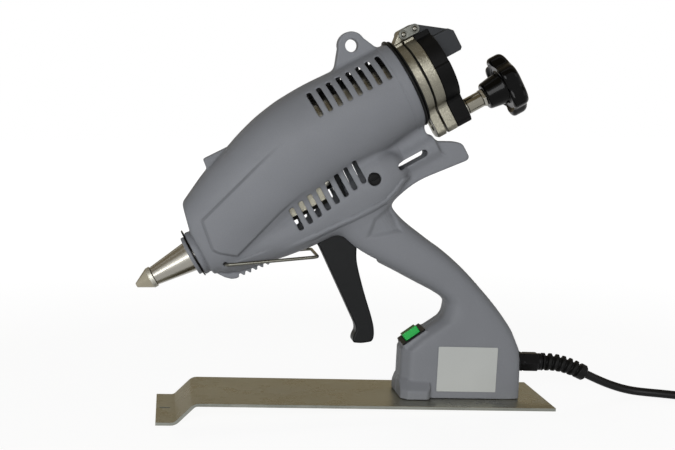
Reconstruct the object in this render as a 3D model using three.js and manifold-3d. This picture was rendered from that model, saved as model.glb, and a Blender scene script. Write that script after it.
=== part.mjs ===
// A tank-type hot glue applicator on its bent stand plate, in millimetres, +Z up.
// The muzzle points to -X and the plate's width lies along Y. The part stands on the lower edge of the
// plate's rear end and on the bend of the plate's front foot, so plate and gun lean back a little.
import * as THREE from "three";
import { mergeVertices } from "three/addons/utils/BufferGeometryUtils.js";
import Module from "manifold-3d";

const wasm = await Module();
wasm.setup();

const degree = Math.PI / 180;

// Clearances shared by all pieces
const seatGap = 0.3; // between a piece and what carries it
const runningGap = 0.8; // round a piece that turns or swings
const overrun = 2; // how far a cutting shape runs past the face it opens
const smallestDetail = 0.1; // smaller facets are merged into their neighbours

// Stand plate: bent sheet, seen from the side with its rear edge at x = 0
const plateLength = 360;
const plateWidth = 100;
const sheet = 3;
const footLength = 16;
const footDrop = 17.2; // how far the foot lies below the plate
const footRun = 17; // length of the slope down to the foot
const footSlotLength = 9;
const footSlotWidth = 3.5;

// Base and handle, measured from the plate's rear edge and its top face
const baseReach = 142; // from the plate's rear edge to the front of the base
const handleRise = 190; // height over the plate where the handle is lost in the barrel
const baseHalfWidth = 21;
const wall = 2.8;
const baseFloor = 2.5; // thickness of the closed bottom of the base
const toeHalfWidth = 28.6;
const toeHeight = 8.4;
const toeTaper = 9.2;
const toeSetback = 2.6; // of the toe's front face from the front of the base's reach
const toeLength = 27.4;
const toeChamfer = 6.2;

// Above handleFootRise the handle leans forward with the barrel; its top lies leanSetback behind
// the nozzle's tip
const handleFootRise = 80;
const leanSetback = 261;

// Handle sections from the barrel down to the plate, before the lean: back edge x and z, front
// edge x and z, half width, as shares of baseReach, handleRise and baseHalfWidth; last the
// squareness
const handleSectionShares = [
  [0.317, 1, 0.907, 0.789, 0.95, 2.4],
  [0.367, 0.874, 0.891, 0.699, 0.9, 2.5],
  [0.335, 0.779, 0.777, 0.612, 0.88, 2.6],
  [0.302, 0.714, 0.697, 0.551, 0.88, 2.7],
  [0.288, 0.635, 0.65, 0.516, 0.88, 2.8],
  [0.298, 0.537, 0.626, 0.479, 0.9, 3],
  [0.328, 0.424, 0.66, 0.445, 0.93, 3.4],
  [0.238, 0.325, 0.728, 0.38, 0.97, 4.5],
  [0.192, 0.242, 0.887, 0.293, 1, 7],
  [0.185, 0.192, 0.976, 0.232, 1, 9],
  [0.179, 0.104, 0.976, 0.113, 1, 9],
  [0.176, 0, 0.978, 0, 1, 9],
];

// Barrel: u runs along the nozzle axis from the tip, v square to it, both in the XZ plane
const barrelTilt = 30.7 * degree;
const nozzleReach = 381; // from the plate's rear edge to the nozzle's tip
const nozzleHeight = 94.5; // of the tip over the plate
const frontFace = 65.5; // from the tip to the housing
const barrelLength = 232.5; // from there to the rear rim
const rearRim = frontFace + barrelLength;
const rimRadius = 40;
const tankRise = 45.6; // tank axis over the nozzle axis
const crownHeight = 87.7; // highest top line over the nozzle axis
const noseDrop = 24; // lower edge of the tank lobe at the front
const neckTop = 21.7; // the front face leans back above this height
const noseLean = 13 * degree;

// Tank lobe sections: place along, top line, half width as shares of barrelLength, crownHeight and
// rimRadius; last the squareness
const tankLobeShares = [
  [0, 0.49, 0.62, 2.7],
  [0.041, 0.545, 0.68, 2.6],
  [0.166, 0.706, 0.79, 2.5],
  [0.273, 0.804, 0.87, 2.4],
  [0.351, 0.88, 0.92, 2.3],
  [0.449, 0.951, 0.96, 2.2],
  [0.555, 0.991, 0.99, 2.1],
  [0.647, 1, 1, 2],
  [0.781, 0.988, 1, 2],
  [1, 0.976, 1, 2],
];

// Pump lobe sections: place along as a share of barrelLength, top, bottom and half width as shares of
// pumpLobeDepth
const pumpLobeDepth = 46;
const pumpLobeSquareness = 2.5;
const pumpLobeShares = [
  [0, 0.45, -0.48, 0.48],
  [0.019, 0.52, -0.5, 0.52],
  [0.049, 0.52, -0.63, 0.53],
  [0.148, 0.52, -0.74, 0.54],
  [0.29, 0.48, -0.905, 0.565],
  [0.462, 0.43, -0.993, 0.565],
  [0.63, 0.35, -1, 0.565],
  [0.75, 0.2, -0.9, 0.54],
  [0.82, 0.02, -0.74, 0.45],
  [0.86, -0.15, -0.58, 0.28],
];

// Neck ring of the housing, nozzle and its rings
const neckRadius = 20.8;
const neckLength = 6;
const tipFlatRadius = 2;
const coneLength = 13.7;
const coneRadius = 9.6;
const bandLength = 3.7;
const tubeFrontRadius = 8.6;
const tubeRearRadius = 14.1;
const tubeTaperLength = 37;
const boreRadius = 1.2;
const feedRadius = 2.4;
const threadRadius = 4.5;
const threadLength = 6;
const collarRadius = 18.3;
const collarWidth = 3.2;
const clipRadius = 21.6;
const clipThickness = 1.4;
const clipTongueWidth = 9;
const clipTongueRise = 24;

// Pump in the barrel
const pumpHalfHeight = 15;
const pumpHalfWidth = 15;
const pumpChamfer = 4;
const pumpLength = 119;
const pumpBore = 6.6;
const feedPortRadius = 3;
const feedPortSetback = 16; // from the pump's rear face
const heaterRadius = 3.25;
const heaterLength = 80;
const heaterSide = 9.6; // of a heater's axis from the pump's axis, sideways and down
const pistonRadius = pumpBore - seatGap;
const pistonLength = 84;
const ballSetback = 14; // of the check ball behind the pump's front face
const pistonHeadRadius = 10;
const pistonHeadThickness = 3;
const ballRadius = pumpBore - seatGap;

// Tank, its flange, ears and seal
const tankRadius = 30.2;
const tankWall = 3.6;
const tankLength = 152;
const tankNoseLength = 14;
const tankNoseRadius = 22;
const flangeRadius = 34;
const flangeThickness = 8.4;
const flangeSetback = 5.8; // from the housing's rear rim to the flange
const earHalfWidth = 12;
const earDrop = 12; // of the clamp ears below the nozzle axis
const earChamfer = 4;
const hingeSetback = 4.4; // of the first hinge pin behind the flange
const sealRadius = 42.4;
const sealLipThickness = 2;
const sealGrooveRadius = 38.4;

// Lid
const gasketThickness = 1;
const gasketRadius = 32.5;
const lidThickness = 10;
const lidPlugLength = 4;
const lidPlugClearance = 1.2;
const lidPlugWall = 3;
const coverThickness = 14.5;
const coverRadius = 33;
const coverEarHalfWidth = 11;

// Lid hinge on the tank's flange
const hingeRise = 85.6; // hinge pins over the nozzle axis
const hingePinRadius = 2;
const linkSpan = 11.5;
const linkRadius = 4.4;
const linkThickness = 3;
const hingeHalfWidth = 12; // outer faces of the links
const armRise = 4.4; // top of the lid arm over the pins
const blockLength = 20;
const blockTop = 72;
const blockBottom = 49.4;
const blockHalfWidth = 13;
const armHalfWidth = 8;
const earArc = [-90 * degree, 120 * degree]; // of the hinge ear round its pin
const armArc = [60 * degree, 270 * degree]; // of the arm's eye round its pin

// Clamp spindle and star knob, on the nozzle axis
const threadedRadius = 4.6;
const sleeveRadius = 7.5;
const sleeveLength = 15.3;
const spindleTipReach = 3.5; // into the flange's ear
const washerRadius = 7.3;
const washerThickness = 1.5;
const lockNutRadius = 8.9;
const lockNutThickness = 3.2;
const hubFrontRadius = 12.4;
const hubRearRadius = 14.8;
const hubLength = 16;
const starRadius = 29.6;
const starThickness = 16;
const starLobes = 6;
const starLobeDepth = 4.4;
const starNotchAngle = 24 * degree; // of one notch over the level line, seen along the spindle
const starBevel = 2.4;
const starCapRise = 3;
const studRadius = 5;
const studLength = 18;

// Trigger, its pin and spring; the pivot is given in the barrel's u and v
const triggerPivotAlong = 200;
const triggerPivotDrop = 30;
const triggerHalfWidth = 9;
const triggerHubRadius = 6;
const triggerPinRadius = 2.5;
const triggerPinHalfLength = 19;
const triggerStroke = 18 * degree;
const pushArmRadius = 4;
const pushArmHalfWidth = 2.2;
const pushArmThickness = 3;
const triggerLength = 117;
// Outline below the pivot, before the handle's lean, in the stand's x and z from the pivot, as
// shares of triggerLength
const triggerOutlineShares = [
  [-0.007, 0.03],
  [-0.324, -0.15],
  [-0.541, -0.29],
  [-0.537, -0.3],
  [-0.627, -0.456],
  [-0.728, -0.631],
  [-0.799, -0.803],
  [-0.743, -0.913],
  [-0.738, -0.958],
  [-0.756, -0.993],
  [-0.762, -1.027],
  [-0.752, -1.049],
  [-0.685, -1.053],
  [-0.604, -1.037],
  [-0.591, -0.994],
  [-0.596, -0.921],
  [-0.624, -0.826],
  [-0.561, -0.665],
  [-0.429, -0.494],
  [-0.341, -0.389],
  [-0.084, -0.15],
  [0.073, 0.03],
];
const springWireRadius = 0.7;
const springCoilRadius = 4.4;
const springCurls = 4;
const springLength = 8;

// Vents: eight slots in a row on each side, in the barrel's u and v
const ventCount = 8;
const ventWidth = 4.4;
const ventPitch = 9.85;
const ventLength = 22;
const upperVentStart = 215;
const upperVentHeight = 69;
const lowerVentStart = 153.8;
const lowerVentHeight = -13;
const lowerVentRise = 1.5; // of each slot over the one before

// Temperature adjuster and thermostat
const dialRadius = 5.6;
const dialThickness = 4;
const dialAlong = 232;
const dialHeight = -15;
const dialSlotWidth = 1.2;
const dialSlotDepth = 1;
const dialShaftRadius = 2;
const dialShaftLength = 5;
const thermostatSide = 12;
const thermostatDepth = 8;

// Hanging lug, tail and nose nub on the housing's middle plane
const lugHalfThickness = 6;
const lugAlong = 271.5;
const lugHeight = 98.5;
const lugRadius = 12.6;
const lugEyeRadius = 5.8;
const lugFootFront = 243;
const lugFootRear = 293.6;
const lugFootHeight = 80;
const lugArcFrom = 165 * degree;
const lugArcTo = 5 * degree;
const webHalfThickness = 8;
const tailLength = 321;
const tailSlotAlong = 272;
const tailSlotHeight = -17.5;
const tailSlotLength = 31;
const tailSlotWidth = 6.4;
// Tail outline as shares of tailLength in u and of pumpLobeDepth in v
const tailOutlineShares = [
  [0.72, 0.0],
  [0.9255, 0.16],
  [0.9185, -0.07],
  [0.931, -0.285],
  [0.986, -0.498],
  [1, -0.6],
  [1, -0.9],
  [0.99, -0.939],
  [0.838, -0.817],
  [0.72, -0.95],
];
const nubHalfThickness = 5;
const nubOutlineShares = [
  [0.375, 0.6],
  [0.325, 0.7],
  [0.331, 0.811],
  [0.336, 0.817],
  [0.402, 0.81],
  [0.42, 0.7],
];

// Nose keel with its toothed rack
const keelHalfThickness = 9;
const toothCount = 6;
const toothPitch = 5.9;
const toothDepth = 2.6;
const rackStart = 84;
const rackDrop = 37;
const rackSlope = 3.5; // extra drop at the rear end of the rack
const keelFront = 68.5;
const keelFrontDrop = 23.8;
const keelThroat = 72.9;
const keelThroatDrop = 30.7;
const keelChin = 77.4;
const keelChinRise = 2; // of the chin over the rack
const keelRoot = 15; // depth of the keel above the rack

// Wire bail
const wireRadius = 1.5;
const bailPivotAlong = 79.3;
const bailPivotHeight = -18.4;
const bailHalfWidth = 28;
const bailEndReach = 8; // of the bent ends into the shell
const bailBend = 4;
const bailClearance = 6.2; // between the folded bail's middle line and the trigger's front edge
const bailRearDrop = 51.5;

// Inner carriers of the housing
const ribThickness = 2.6;
const frontRibAlong = 84;
const rearRibAlong = 170;
const bossRadius = 5.5;
const screwRadius = 1.9;
const screwHeadRadius = 3.6;
const screwHeadHeight = 2.4;
const screwLength = 20;
const screwSeatDepth = 9; // of its tip past the middle plane
// Screw places in the stand's x and z, before the lean, as shares of baseReach and handleRise
const screwPlaceShares = [
  [0.495, 0.63],
  [0.493, 0.46],
  [0.25, 0.23],
  [0.93, 0.16],
];
// and in the barrel's u and v as shares of barrelLength and crownHeight
const barrelScrewShares = [
  [0.28, 0.6],
  [0.79, -0.27],
];

// Switch on the base's front slope
const slopeAngle = 36.5 * degree;
const switchPlaceX = 127;
const switchPlaceZ = 55;
const bezelLength = 25;
const bezelWidth = 30;
const bezelThickness = 1.2;
const switchBodyLength = 21;
const switchBodyWidth = 25;
const switchBodyDepth = 18;
const rockerLength = 15.4;
const rockerWidth = 21;
const rockerRise = 6.6;
const rockerDip = 1.6; // of the rocker's top in its middle
const rockerTilt = 10 * degree;
const rockerPocketDepth = 9;
const rockerRootDepth = 3;

// Label plate on the left of the base
const labelLength = 56;
const labelHeight = 42;
const labelThickness = 0.6;
const labelRear = 49.6;
const labelBottom = 7;

// Cable gland, cord and plug; the cord's facts and route
const glandHeight = 32;
const glandHoleRadius = 8;
const glandFlangeRadius = 10.6;
const glandFlangeThickness = 2;
const glandNutRadius = 9.5;
const glandNutLength = 17.6;
const glandSleeveLength = 12;
const glandDomeLength = 4.4;
const cordRadius = 3.9;
const cordSides = 10;
const cordStep = 18;
const protectorRadius = 8.4;
const protectorEndRadius = 7.2;
const protectorRibs = 7;
const protectorRibDepth = 2;
const protectorSides = 12;
const cordLength = 2000;
// Route of the cord over the ground from the gland to the coil, x from the plate's rear edge
const protectorRoute = [
  [1.3, 0, 35],
  [12, 0, 34.2],
  [24, 0, 31.4],
  [35, 0, 26.9],
  [44, 0, 22.3],
];
const leadRoute = [
  [44.3, 0, 22.2],
  [56, 0, 16.4],
  [68, -0.5, 11.2],
  [80, -2, 7.2],
  [91, -4.6, 4.9],
  [102, -9, 4.1],
  [113, -15, 4],
  [124, -22, 4],
  [131.5, -27, 4],
  [137.9, -33.3, 4.2],
  [143.1, -40.7, 4.7],
  [146.9, -48.8, 5],
];
const tailRoute = [
  [8, 0.4, 0],
  [20, 3, 0.4],
  [32, 9, 1.4],
  [43, 18, 3],
  [51, 30, 4.3],
  [54.5, 42, 5.2],
];
const plugRadius = 18.5;
const plugLength = 36;
const plugNeckRadius = 8;
const plugNeckLength = 22;
const plugPinRadius = 2.4;
const plugPinLength = 19;
const plugPinSpacing = 19;
const plugPinSeat = 8;

// Coil of the cord: two layers, each a spiral
const coilTurns = 6.25;
const coilStepsPerTurn = 24;
const coilSides = 6;
const coilPitch = 8.5;
const coilLayerRise = 8.4;
const coilDip = 1.6; // how far the climbing half turn draws inwards
const coilStartAngle = 200 * degree;
const tieAngle = 120 * degree;
const tieWidth = 9;
const tieThickness = 0.8;

// Stand screws that hold the base to the plate
const standScrewRadius = 2.5;
const standScrewHeadRadius = 4.6;
const standScrewHeadHeight = 2;
const standScrewReach = 12;
const standScrewRear = 64;
const standScrewFront = 110;
const standBossRadius = 6;
const standBossHeight = 14;

// Board and terminals in the base
const boardLength = 56;
const boardHeight = 28;
const boardThickness = 1.6;
const boardRear = 58;
const boardSide = 12;
const terminalLength = 17;
const terminalHalfWidth = 9;
const terminalHeight = 13;
const terminalRear = 31;

// Counts of sides and steps
const roundSides = 32;
const smallSides = 14;
const bossSides = 8;
const sectionSides = 20;
const nutSides = 6;
const arcSteps = 9;
const starLobeSteps = 6;
const springCurlSteps = 8;
const springWireSides = 5;
const bailSteps = 40;
const bailSides = 7;

// Materials
const housingGrey = 0x7b7f86;
const blackPlastic = 0x17181a;
const paint = (color, roughness, metalness) =>
  new THREE.MeshStandardMaterial({ color, roughness, metalness });
const mouldedGrey = () => paint(housingGrey, 0.62, 0);
const mouldedBlack = () => paint(blackPlastic, 0.5, 0);
const glossBlack = () => paint(0x0c0c0d, 0.22, 0);
const rubberBlack = () => paint(0x141414, 0.8, 0);
const polishedSteel = () => paint(0xc4c0b6, 0.22, 1);
const sheetSteel = () => paint(0x9a9589, 0.4, 1);
const castAluminium = () => paint(0xa9a69c, 0.55, 1);
const brassYellow = () => paint(0xb8954a, 0.35, 1);
const switchGreen = () => paint(0x1f9a4a, 0.3, 0);
const boardGreen = () => paint(0x2c5a3a, 0.6, 0);
const labelSilver = () => paint(0xc9cacb, 0.5, 0);
const ceramicWhite = () => paint(0xe2ded4, 0.7, 0);

// Solids: joins and cuts work on closed, merged geometry

function solidOf(geometry) {
  const bare = geometry.index ? geometry.toNonIndexed() : geometry.clone();
  bare.deleteAttribute("normal");
  bare.deleteAttribute("uv");
  const merged = mergeVertices(bare, 1e-4);
  const build = (triVerts) =>
    new wasm.Manifold(
      new wasm.Mesh({ numProp: 3, vertProperties: merged.attributes.position.array, triVerts }),
    );
  const made = build(new Uint32Array(merged.index.array));
  if (made.volume() >= 0) return made;
  return build(new Uint32Array(merged.index.array).reverse());
}

function geometryOf(solid) {
  const mesh = solid.getMesh();
  const positions = new Float32Array(mesh.numVert * 3);
  for (let i = 0; i < mesh.numVert; i++) {
    positions.set(mesh.vertProperties.subarray(i * mesh.numProp, i * mesh.numProp + 3), i * 3);
  }
  const geometry = new THREE.BufferGeometry();
  geometry.setAttribute("position", new THREE.BufferAttribute(positions, 3));
  geometry.setIndex(new THREE.BufferAttribute(new Uint32Array(mesh.triVerts), 1));
  geometry.computeVertexNormals();
  return geometry;
}

const joined = (...geometries) => geometries.map(solidOf).reduce((a, b) => a.add(b));
const without = (solid, ...geometries) =>
  geometries.map(solidOf).reduce((a, b) => a.subtract(b), solid);

// Shapes

// Slab of a side outline [x, z], from yLow to yHigh.
function slab(points, yLow, yHigh, holes = []) {
  const shape = new THREE.Shape(points.map(([x, z]) => new THREE.Vector2(x, z)));
  holes.forEach((hole) => shape.holes.push(hole));
  const geometry = new THREE.ExtrudeGeometry(shape, {
    depth: yHigh - yLow,
    bevelEnabled: false,
    curveSegments: smallSides,
  });
  geometry.rotateX(Math.PI / 2);
  return geometry.translate(0, yHigh, 0);
}

// Bar of a cross-section [y, z], from xLow to xHigh.
function bar(points, xLow, xHigh, holes = []) {
  const shape = new THREE.Shape(points.map(([y, z]) => new THREE.Vector2(y, z)));
  holes.forEach((hole) => shape.holes.push(hole));
  const geometry = new THREE.ExtrudeGeometry(shape, {
    depth: xHigh - xLow,
    bevelEnabled: false,
    curveSegments: smallSides / 2,
  });
  const turn = new THREE.Matrix4().makeBasis(
    new THREE.Vector3(0, 1, 0),
    new THREE.Vector3(0, 0, 1),
    new THREE.Vector3(1, 0, 0),
  );
  return geometry.applyMatrix4(turn).translate(xLow, 0, 0);
}

// Box between two corners.
function block(xLow, xHigh, yLow, yHigh, zLow, zHigh) {
  const geometry = new THREE.BoxGeometry(xHigh - xLow, yHigh - yLow, zHigh - zLow);
  return geometry.translate((xLow + xHigh) / 2, (yLow + yHigh) / 2, (zLow + zHigh) / 2);
}

// Body of revolution round the X axis from [x, radius] pairs.
function turned(profile, sides = roundSides) {
  const points = profile.map(([x, radius]) => new THREE.Vector2(radius, x));
  return new THREE.LatheGeometry(points, sides).rotateZ(-Math.PI / 2);
}

// Ring round the X axis.
function ring(xLow, xHigh, inner, outer, sides = roundSides) {
  return turned(
    [
      [xLow, inner],
      [xLow, outer],
      [xHigh, outer],
      [xHigh, inner],
      [xLow, inner],
    ],
    sides,
  );
}

// Rod round the X axis.
function rod(xLow, xHigh, radius, sides = smallSides) {
  return turned(
    [
      [xLow, 0],
      [xLow, radius],
      [xHigh, radius],
      [xHigh, 0],
    ],
    sides,
  );
}

// Six-sided nut with a round bore, round the X axis.
function hexNut(xLow, xHigh, bore, radius) {
  return without(
    solidOf(rod(xLow, xHigh, radius, nutSides)),
    rod(xLow - overrun, xHigh + overrun, bore),
  );
}

// Rod along Y through x and z.
function crossRod(x, z, yLow, yHigh, radius, sides = smallSides) {
  const geometry = new THREE.CylinderGeometry(radius, radius, yHigh - yLow, sides);
  return geometry.translate(x, (yLow + yHigh) / 2, z);
}

// Rod along Z through x, at y = 0.
function upright(x, zLow, zHigh, radius, sides = smallSides) {
  const geometry = new THREE.CylinderGeometry(radius, radius, zHigh - zLow, sides);
  return geometry.rotateX(Math.PI / 2).translate(x, 0, (zLow + zHigh) / 2);
}

// Closed skin through rings of equally many points.
function loft(rings) {
  const count = rings[0].length;
  const positions = rings.flat(2);
  const index = [];
  for (let i = 0; i + 1 < rings.length; i++) {
    for (let j = 0; j < count; j++) {
      const a = i * count + j;
      const b = i * count + ((j + 1) % count);
      index.push(a, b, b + count, a, b + count, a + count);
    }
  }
  [0, rings.length - 1].forEach((i) => {
    const middle = [0, 1, 2].map((k) => rings[i].reduce((sum, p) => sum + p[k], 0) / count);
    const centre = positions.length / 3;
    positions.push(...middle);
    for (let j = 0; j < count; j++) {
      const a = i * count + j;
      const b = i * count + ((j + 1) % count);
      index.push(...(i === 0 ? [centre, b, a] : [centre, a, b]));
    }
  });
  const geometry = new THREE.BufferGeometry();
  geometry.setAttribute("position", new THREE.Float32BufferAttribute(positions, 3));
  geometry.setIndex(index);
  return geometry;
}

// Point of a rounded section: squareness 2 is an ellipse, more is boxier.
function rounded(angle, squareness) {
  const power = 2 / squareness;
  const c = Math.cos(angle);
  const s = Math.sin(angle);
  return [Math.sign(c) * Math.abs(c) ** power, Math.sign(s) * Math.abs(s) ** power];
}

// Ring of a rounded section between a low and a high edge point [x, z].
function sectionRing(low, high, halfWidth, squareness) {
  return Array.from({ length: sectionSides }, (_, k) => {
    const [along, across] = rounded((k / sectionSides) * 2 * Math.PI, squareness);
    const x = (low[0] + high[0]) / 2 + ((high[0] - low[0]) / 2) * along;
    const z = (low[1] + high[1]) / 2 + ((high[1] - low[1]) / 2) * along;
    return [x, halfWidth * across, z];
  });
}

// Tube of a round section along a curve.
function tube(curve, radius, steps, sides) {
  const shape = new THREE.Shape(
    Array.from({ length: sides }, (_, k) => {
      const angle = ((k + 1 / 2) / sides) * 2 * Math.PI;
      return new THREE.Vector2(radius * Math.cos(angle), radius * Math.sin(angle));
    }),
  );
  return new THREE.ExtrudeGeometry(shape, { steps, extrudePath: curve, bevelEnabled: false });
}

const circleHole = (x, y, radius) => {
  const hole = new THREE.Path();
  hole.absarc(x, y, radius, 0, 2 * Math.PI, true);
  return hole;
};

// Frames: the stand leans with its plate, and the barrel leans up from the stand
const bendShift = sheet * Math.tan(Math.atan(footDrop / footRun) / 2);
const standTilt = Math.atan(footDrop / (plateLength - footLength - bendShift));
const lowestEdge = -sheet * Math.cos(standTilt);
const rearEdgeX = 0;
const noseX =
  -nozzleReach * Math.cos(standTilt) +
  nozzleHeight * Math.sin(standTilt) -
  tipFlatRadius * Math.sin(barrelTilt - standTilt);
const originX = (noseX + rearEdgeX) / 2;
const barrelMatrix = new THREE.Matrix4()
  .makeRotationY(-barrelTilt)
  .setPosition(-nozzleReach, 0, nozzleHeight);
const inStand = (geometry) => geometry.applyMatrix4(barrelMatrix);

// Place in the stand's frame of a point given in the barrel's u and v.
function standPoint(u, v) {
  const point = new THREE.Vector3(u, 0, v).applyMatrix4(barrelMatrix);
  return [point.x, point.z];
}

// How far forward the handle has leaned at a height over the plate.
function leanAt(z) {
  const climb = (z - handleFootRise) / (handleRise - handleFootRise);
  return (nozzleReach - leanSetback) * THREE.MathUtils.clamp(climb, 0, 1);
}

// Place in the stand's frame of a point of the handle, given before the lean.
const leaned = (x, z) => [-x - leanAt(z), z];

const screwPlaces = [
  ...screwPlaceShares.map(([x, z]) => leaned(x * baseReach, z * handleRise)),
  ...barrelScrewShares.map(([u, v]) =>
    standPoint(frontFace + u * barrelLength, v * crownHeight),
  ),
];
const screwHeadSeat = screwLength - screwSeatDepth;

const part = new THREE.Group();
const stand = new THREE.Group();
stand.rotation.y = standTilt;
stand.position.set(-originX, 0, -lowestEdge);
part.add(stand);

const ground = new THREE.Group();
ground.position.set(-originX, 0, 0);
part.add(ground);

const barrel = new THREE.Group();
barrel.rotation.y = -barrelTilt;
barrel.position.set(-nozzleReach, 0, nozzleHeight);
stand.add(barrel);

function add(group, name, shape, material, x = 0, y = 0, z = 0) {
  const geometry = shape.isBufferGeometry ? geometryOf(solidOf(shape)) : geometryOf(shape);
  const mesh = new THREE.Mesh(geometry, material);
  mesh.name = name;
  mesh.position.set(x, y, z);
  group.add(mesh);
  return mesh;
}

// Stand plate with its stepped foot
function addStandPlate() {
  const bend = plateLength - footLength - footRun;
  const toeBend = plateLength - footLength;
  const outline = [
    [0, 0],
    [-bend, 0],
    [-toeBend, -footDrop],
    [-plateLength, -footDrop],
    [-plateLength, -footDrop - sheet],
    [-toeBend + bendShift, -footDrop - sheet],
    [-bend + bendShift, -sheet],
    [0, -sheet],
  ];
  const plate = solidOf(slab(outline, -plateWidth / 2, plateWidth / 2));
  const slotX = -plateLength + footLength / 2;
  const slot = block(
    slotX - footSlotLength / 2,
    slotX + footSlotLength / 2,
    -footSlotWidth / 2,
    footSlotWidth / 2,
    -footDrop - sheet - overrun,
    -footDrop + overrun,
  );
  const holes = [standScrewRear, standScrewFront].map((x) =>
    upright(-x, -sheet - overrun, overrun, standScrewRadius + seatGap),
  );
  add(stand, "stand_plate", without(plate, slot, ...holes), sheetSteel());
}

// Screws from below the plate into the base
function addStandScrews() {
  [standScrewRear, standScrewFront].forEach((x, i) => {
    const profile = [
      new THREE.Vector2(0, 0),
      new THREE.Vector2(standScrewHeadRadius, 0),
      new THREE.Vector2(standScrewHeadRadius, standScrewHeadHeight),
      new THREE.Vector2(standScrewRadius, standScrewHeadHeight),
      new THREE.Vector2(standScrewRadius, standScrewHeadHeight + standScrewReach),
      new THREE.Vector2(0, standScrewHeadHeight + standScrewReach),
    ];
    const geometry = new THREE.LatheGeometry(profile, smallSides).rotateX(Math.PI / 2);
    const base = -sheet - seatGap - standScrewHeadHeight;
    add(stand, "stand_screw_" + (i + 1), geometry, polishedSteel(), -x, 0, base);
  });
}

// Housing: outer and inner skins share their sections

function tankLobe(inset, rearReach) {
  const rings = tankLobeShares.map(([along, top, halfWidth, squareness], i) => {
    const first = i === 0;
    const last = i === tankLobeShares.length - 1;
    const u = frontFace + along * barrelLength + (first ? inset : 0) + (last ? rearReach : 0);
    const bottom = THREE.MathUtils.lerp(-noseDrop, tankRise - rimRadius, along);
    const points = sectionRing(
      [0, bottom + inset],
      [0, top * crownHeight - inset],
      halfWidth * rimRadius - inset,
      squareness,
    );
    const lean = first ? Math.tan(noseLean) : 0;
    return points.map(([, y, v]) => [u + lean * Math.max(0, v - neckTop), y, v]);
  });
  return inStand(loft(rings));
}

function pumpLobe(inset) {
  const rings = pumpLobeShares.map(([along, top, bottom, halfWidth], i) => {
    const end = i === 0 ? inset : i === pumpLobeShares.length - 1 ? -inset : 0;
    const points = sectionRing(
      [0, bottom * pumpLobeDepth + inset],
      [0, top * pumpLobeDepth - inset],
      halfWidth * pumpLobeDepth - inset,
      pumpLobeSquareness,
    );
    return points.map(([, y, v]) => [frontFace + along * barrelLength + end, y, v]);
  });
  return inStand(loft(rings));
}

function handleSkin(inset, floor) {
  const rings = handleSectionShares.map(([backX, backZ, frontX, frontZ, halfWidth, square], i) => {
    const last = i === handleSectionShares.length - 1;
    const rise = last ? floor : 0;
    const back = new THREE.Vector2(...leaned(backX * baseReach, backZ * handleRise + rise));
    const front = new THREE.Vector2(...leaned(frontX * baseReach, frontZ * handleRise + rise));
    const step = back.clone().sub(front).normalize().multiplyScalar(inset);
    back.sub(step);
    front.add(step);
    return sectionRing(front.toArray(), back.toArray(), halfWidth * baseHalfWidth - inset, square);
  });
  return loft(rings);
}

// Octagonal toe that widens the base at the front.
function toe() {
  const front = -baseReach + toeSetback;
  const rear = front + toeLength;
  const plan = (side, inset) => [
    [front, -(side - toeChamfer)],
    [front + toeChamfer - inset, -side],
    [rear - toeChamfer / 2 + inset, -side],
    [rear, -(side - toeChamfer)],
    [rear, side - toeChamfer],
    [rear - toeChamfer / 2 + inset, side],
    [front + toeChamfer - inset, side],
    [front, side - toeChamfer],
  ];
  const level = (z, side, inset) => plan(side, inset).map(([x, y]) => [x, y, z]);
  return loft([
    level(seatGap, toeHalfWidth, 0),
    level(toeHeight, toeHalfWidth, 0),
    level(toeHeight + toeTaper, baseHalfWidth - overrun, -toeChamfer / 2),
  ]);
}

function lugOutline() {
  const points = [
    [lugFootRear, lugFootHeight],
    [lugFootFront, lugFootHeight],
  ];
  for (let i = 0; i <= arcSteps; i++) {
    const angle = lugArcFrom + ((lugArcTo - lugArcFrom) * i) / arcSteps;
    points.push([
      lugAlong + lugRadius * Math.cos(angle),
      lugHeight + lugRadius * Math.sin(angle),
    ]);
  }
  return points;
}

function keelOutline() {
  const rear = rackStart + toothCount * toothPitch;
  const points = [
    [rear + toothPitch, -rackDrop + keelRoot],
    [keelFront, -keelFrontDrop + keelRoot],
    [keelFront, -keelFrontDrop],
    [keelThroat, -keelThroatDrop],
    [keelChin, -rackDrop + keelChinRise],
    [rackStart, -rackDrop],
  ];
  for (let i = 0; i < toothCount; i++) {
    const u = rackStart + i * toothPitch;
    const drop = rackDrop + (rackSlope * i) / toothCount;
    points.push([u + toothPitch / 4, -drop + toothDepth]);
    points.push([u + (toothPitch * 2) / 4, -drop + toothDepth]);
    points.push([u + (toothPitch * 3) / 4, -drop]);
    points.push([u + toothPitch, -drop - rackSlope / toothCount]);
  }
  return points;
}

function tailSlot() {
  const half = tailSlotWidth / 2;
  const reach = (tailSlotLength - tailSlotWidth) / 2;
  const shape = new THREE.Path();
  shape.absarc(tailSlotAlong - reach, tailSlotHeight, half, Math.PI / 2, (Math.PI * 3) / 2, false);
  shape.absarc(tailSlotAlong + reach, tailSlotHeight, half, -Math.PI / 2, Math.PI / 2, false);
  return shape.getPoints(smallSides / 2).map((p) => [p.x, p.y]);
}

function ventCutters() {
  const side = rimRadius + overrun;
  const cutter = (u, v) =>
    block(
      u - ventWidth / 2,
      u + ventWidth / 2,
      -side,
      side,
      v - ventLength / 2,
      v + ventLength / 2,
    );
  return Array.from({ length: ventCount }, (_, i) => [
    inStand(cutter(upperVentStart + i * ventPitch, upperVentHeight)),
    inStand(cutter(lowerVentStart + i * ventPitch, lowerVentHeight + i * lowerVentRise)),
  ]).flat();
}

const shareOutline = (shares, width, height) => shares.map(([x, z]) => [x * width, z * height]);

// The trigger's side outline in the stand's frame, turned by an angle about its pivot.
const triggerPivot = standPoint(triggerPivotAlong, -triggerPivotDrop);

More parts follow.
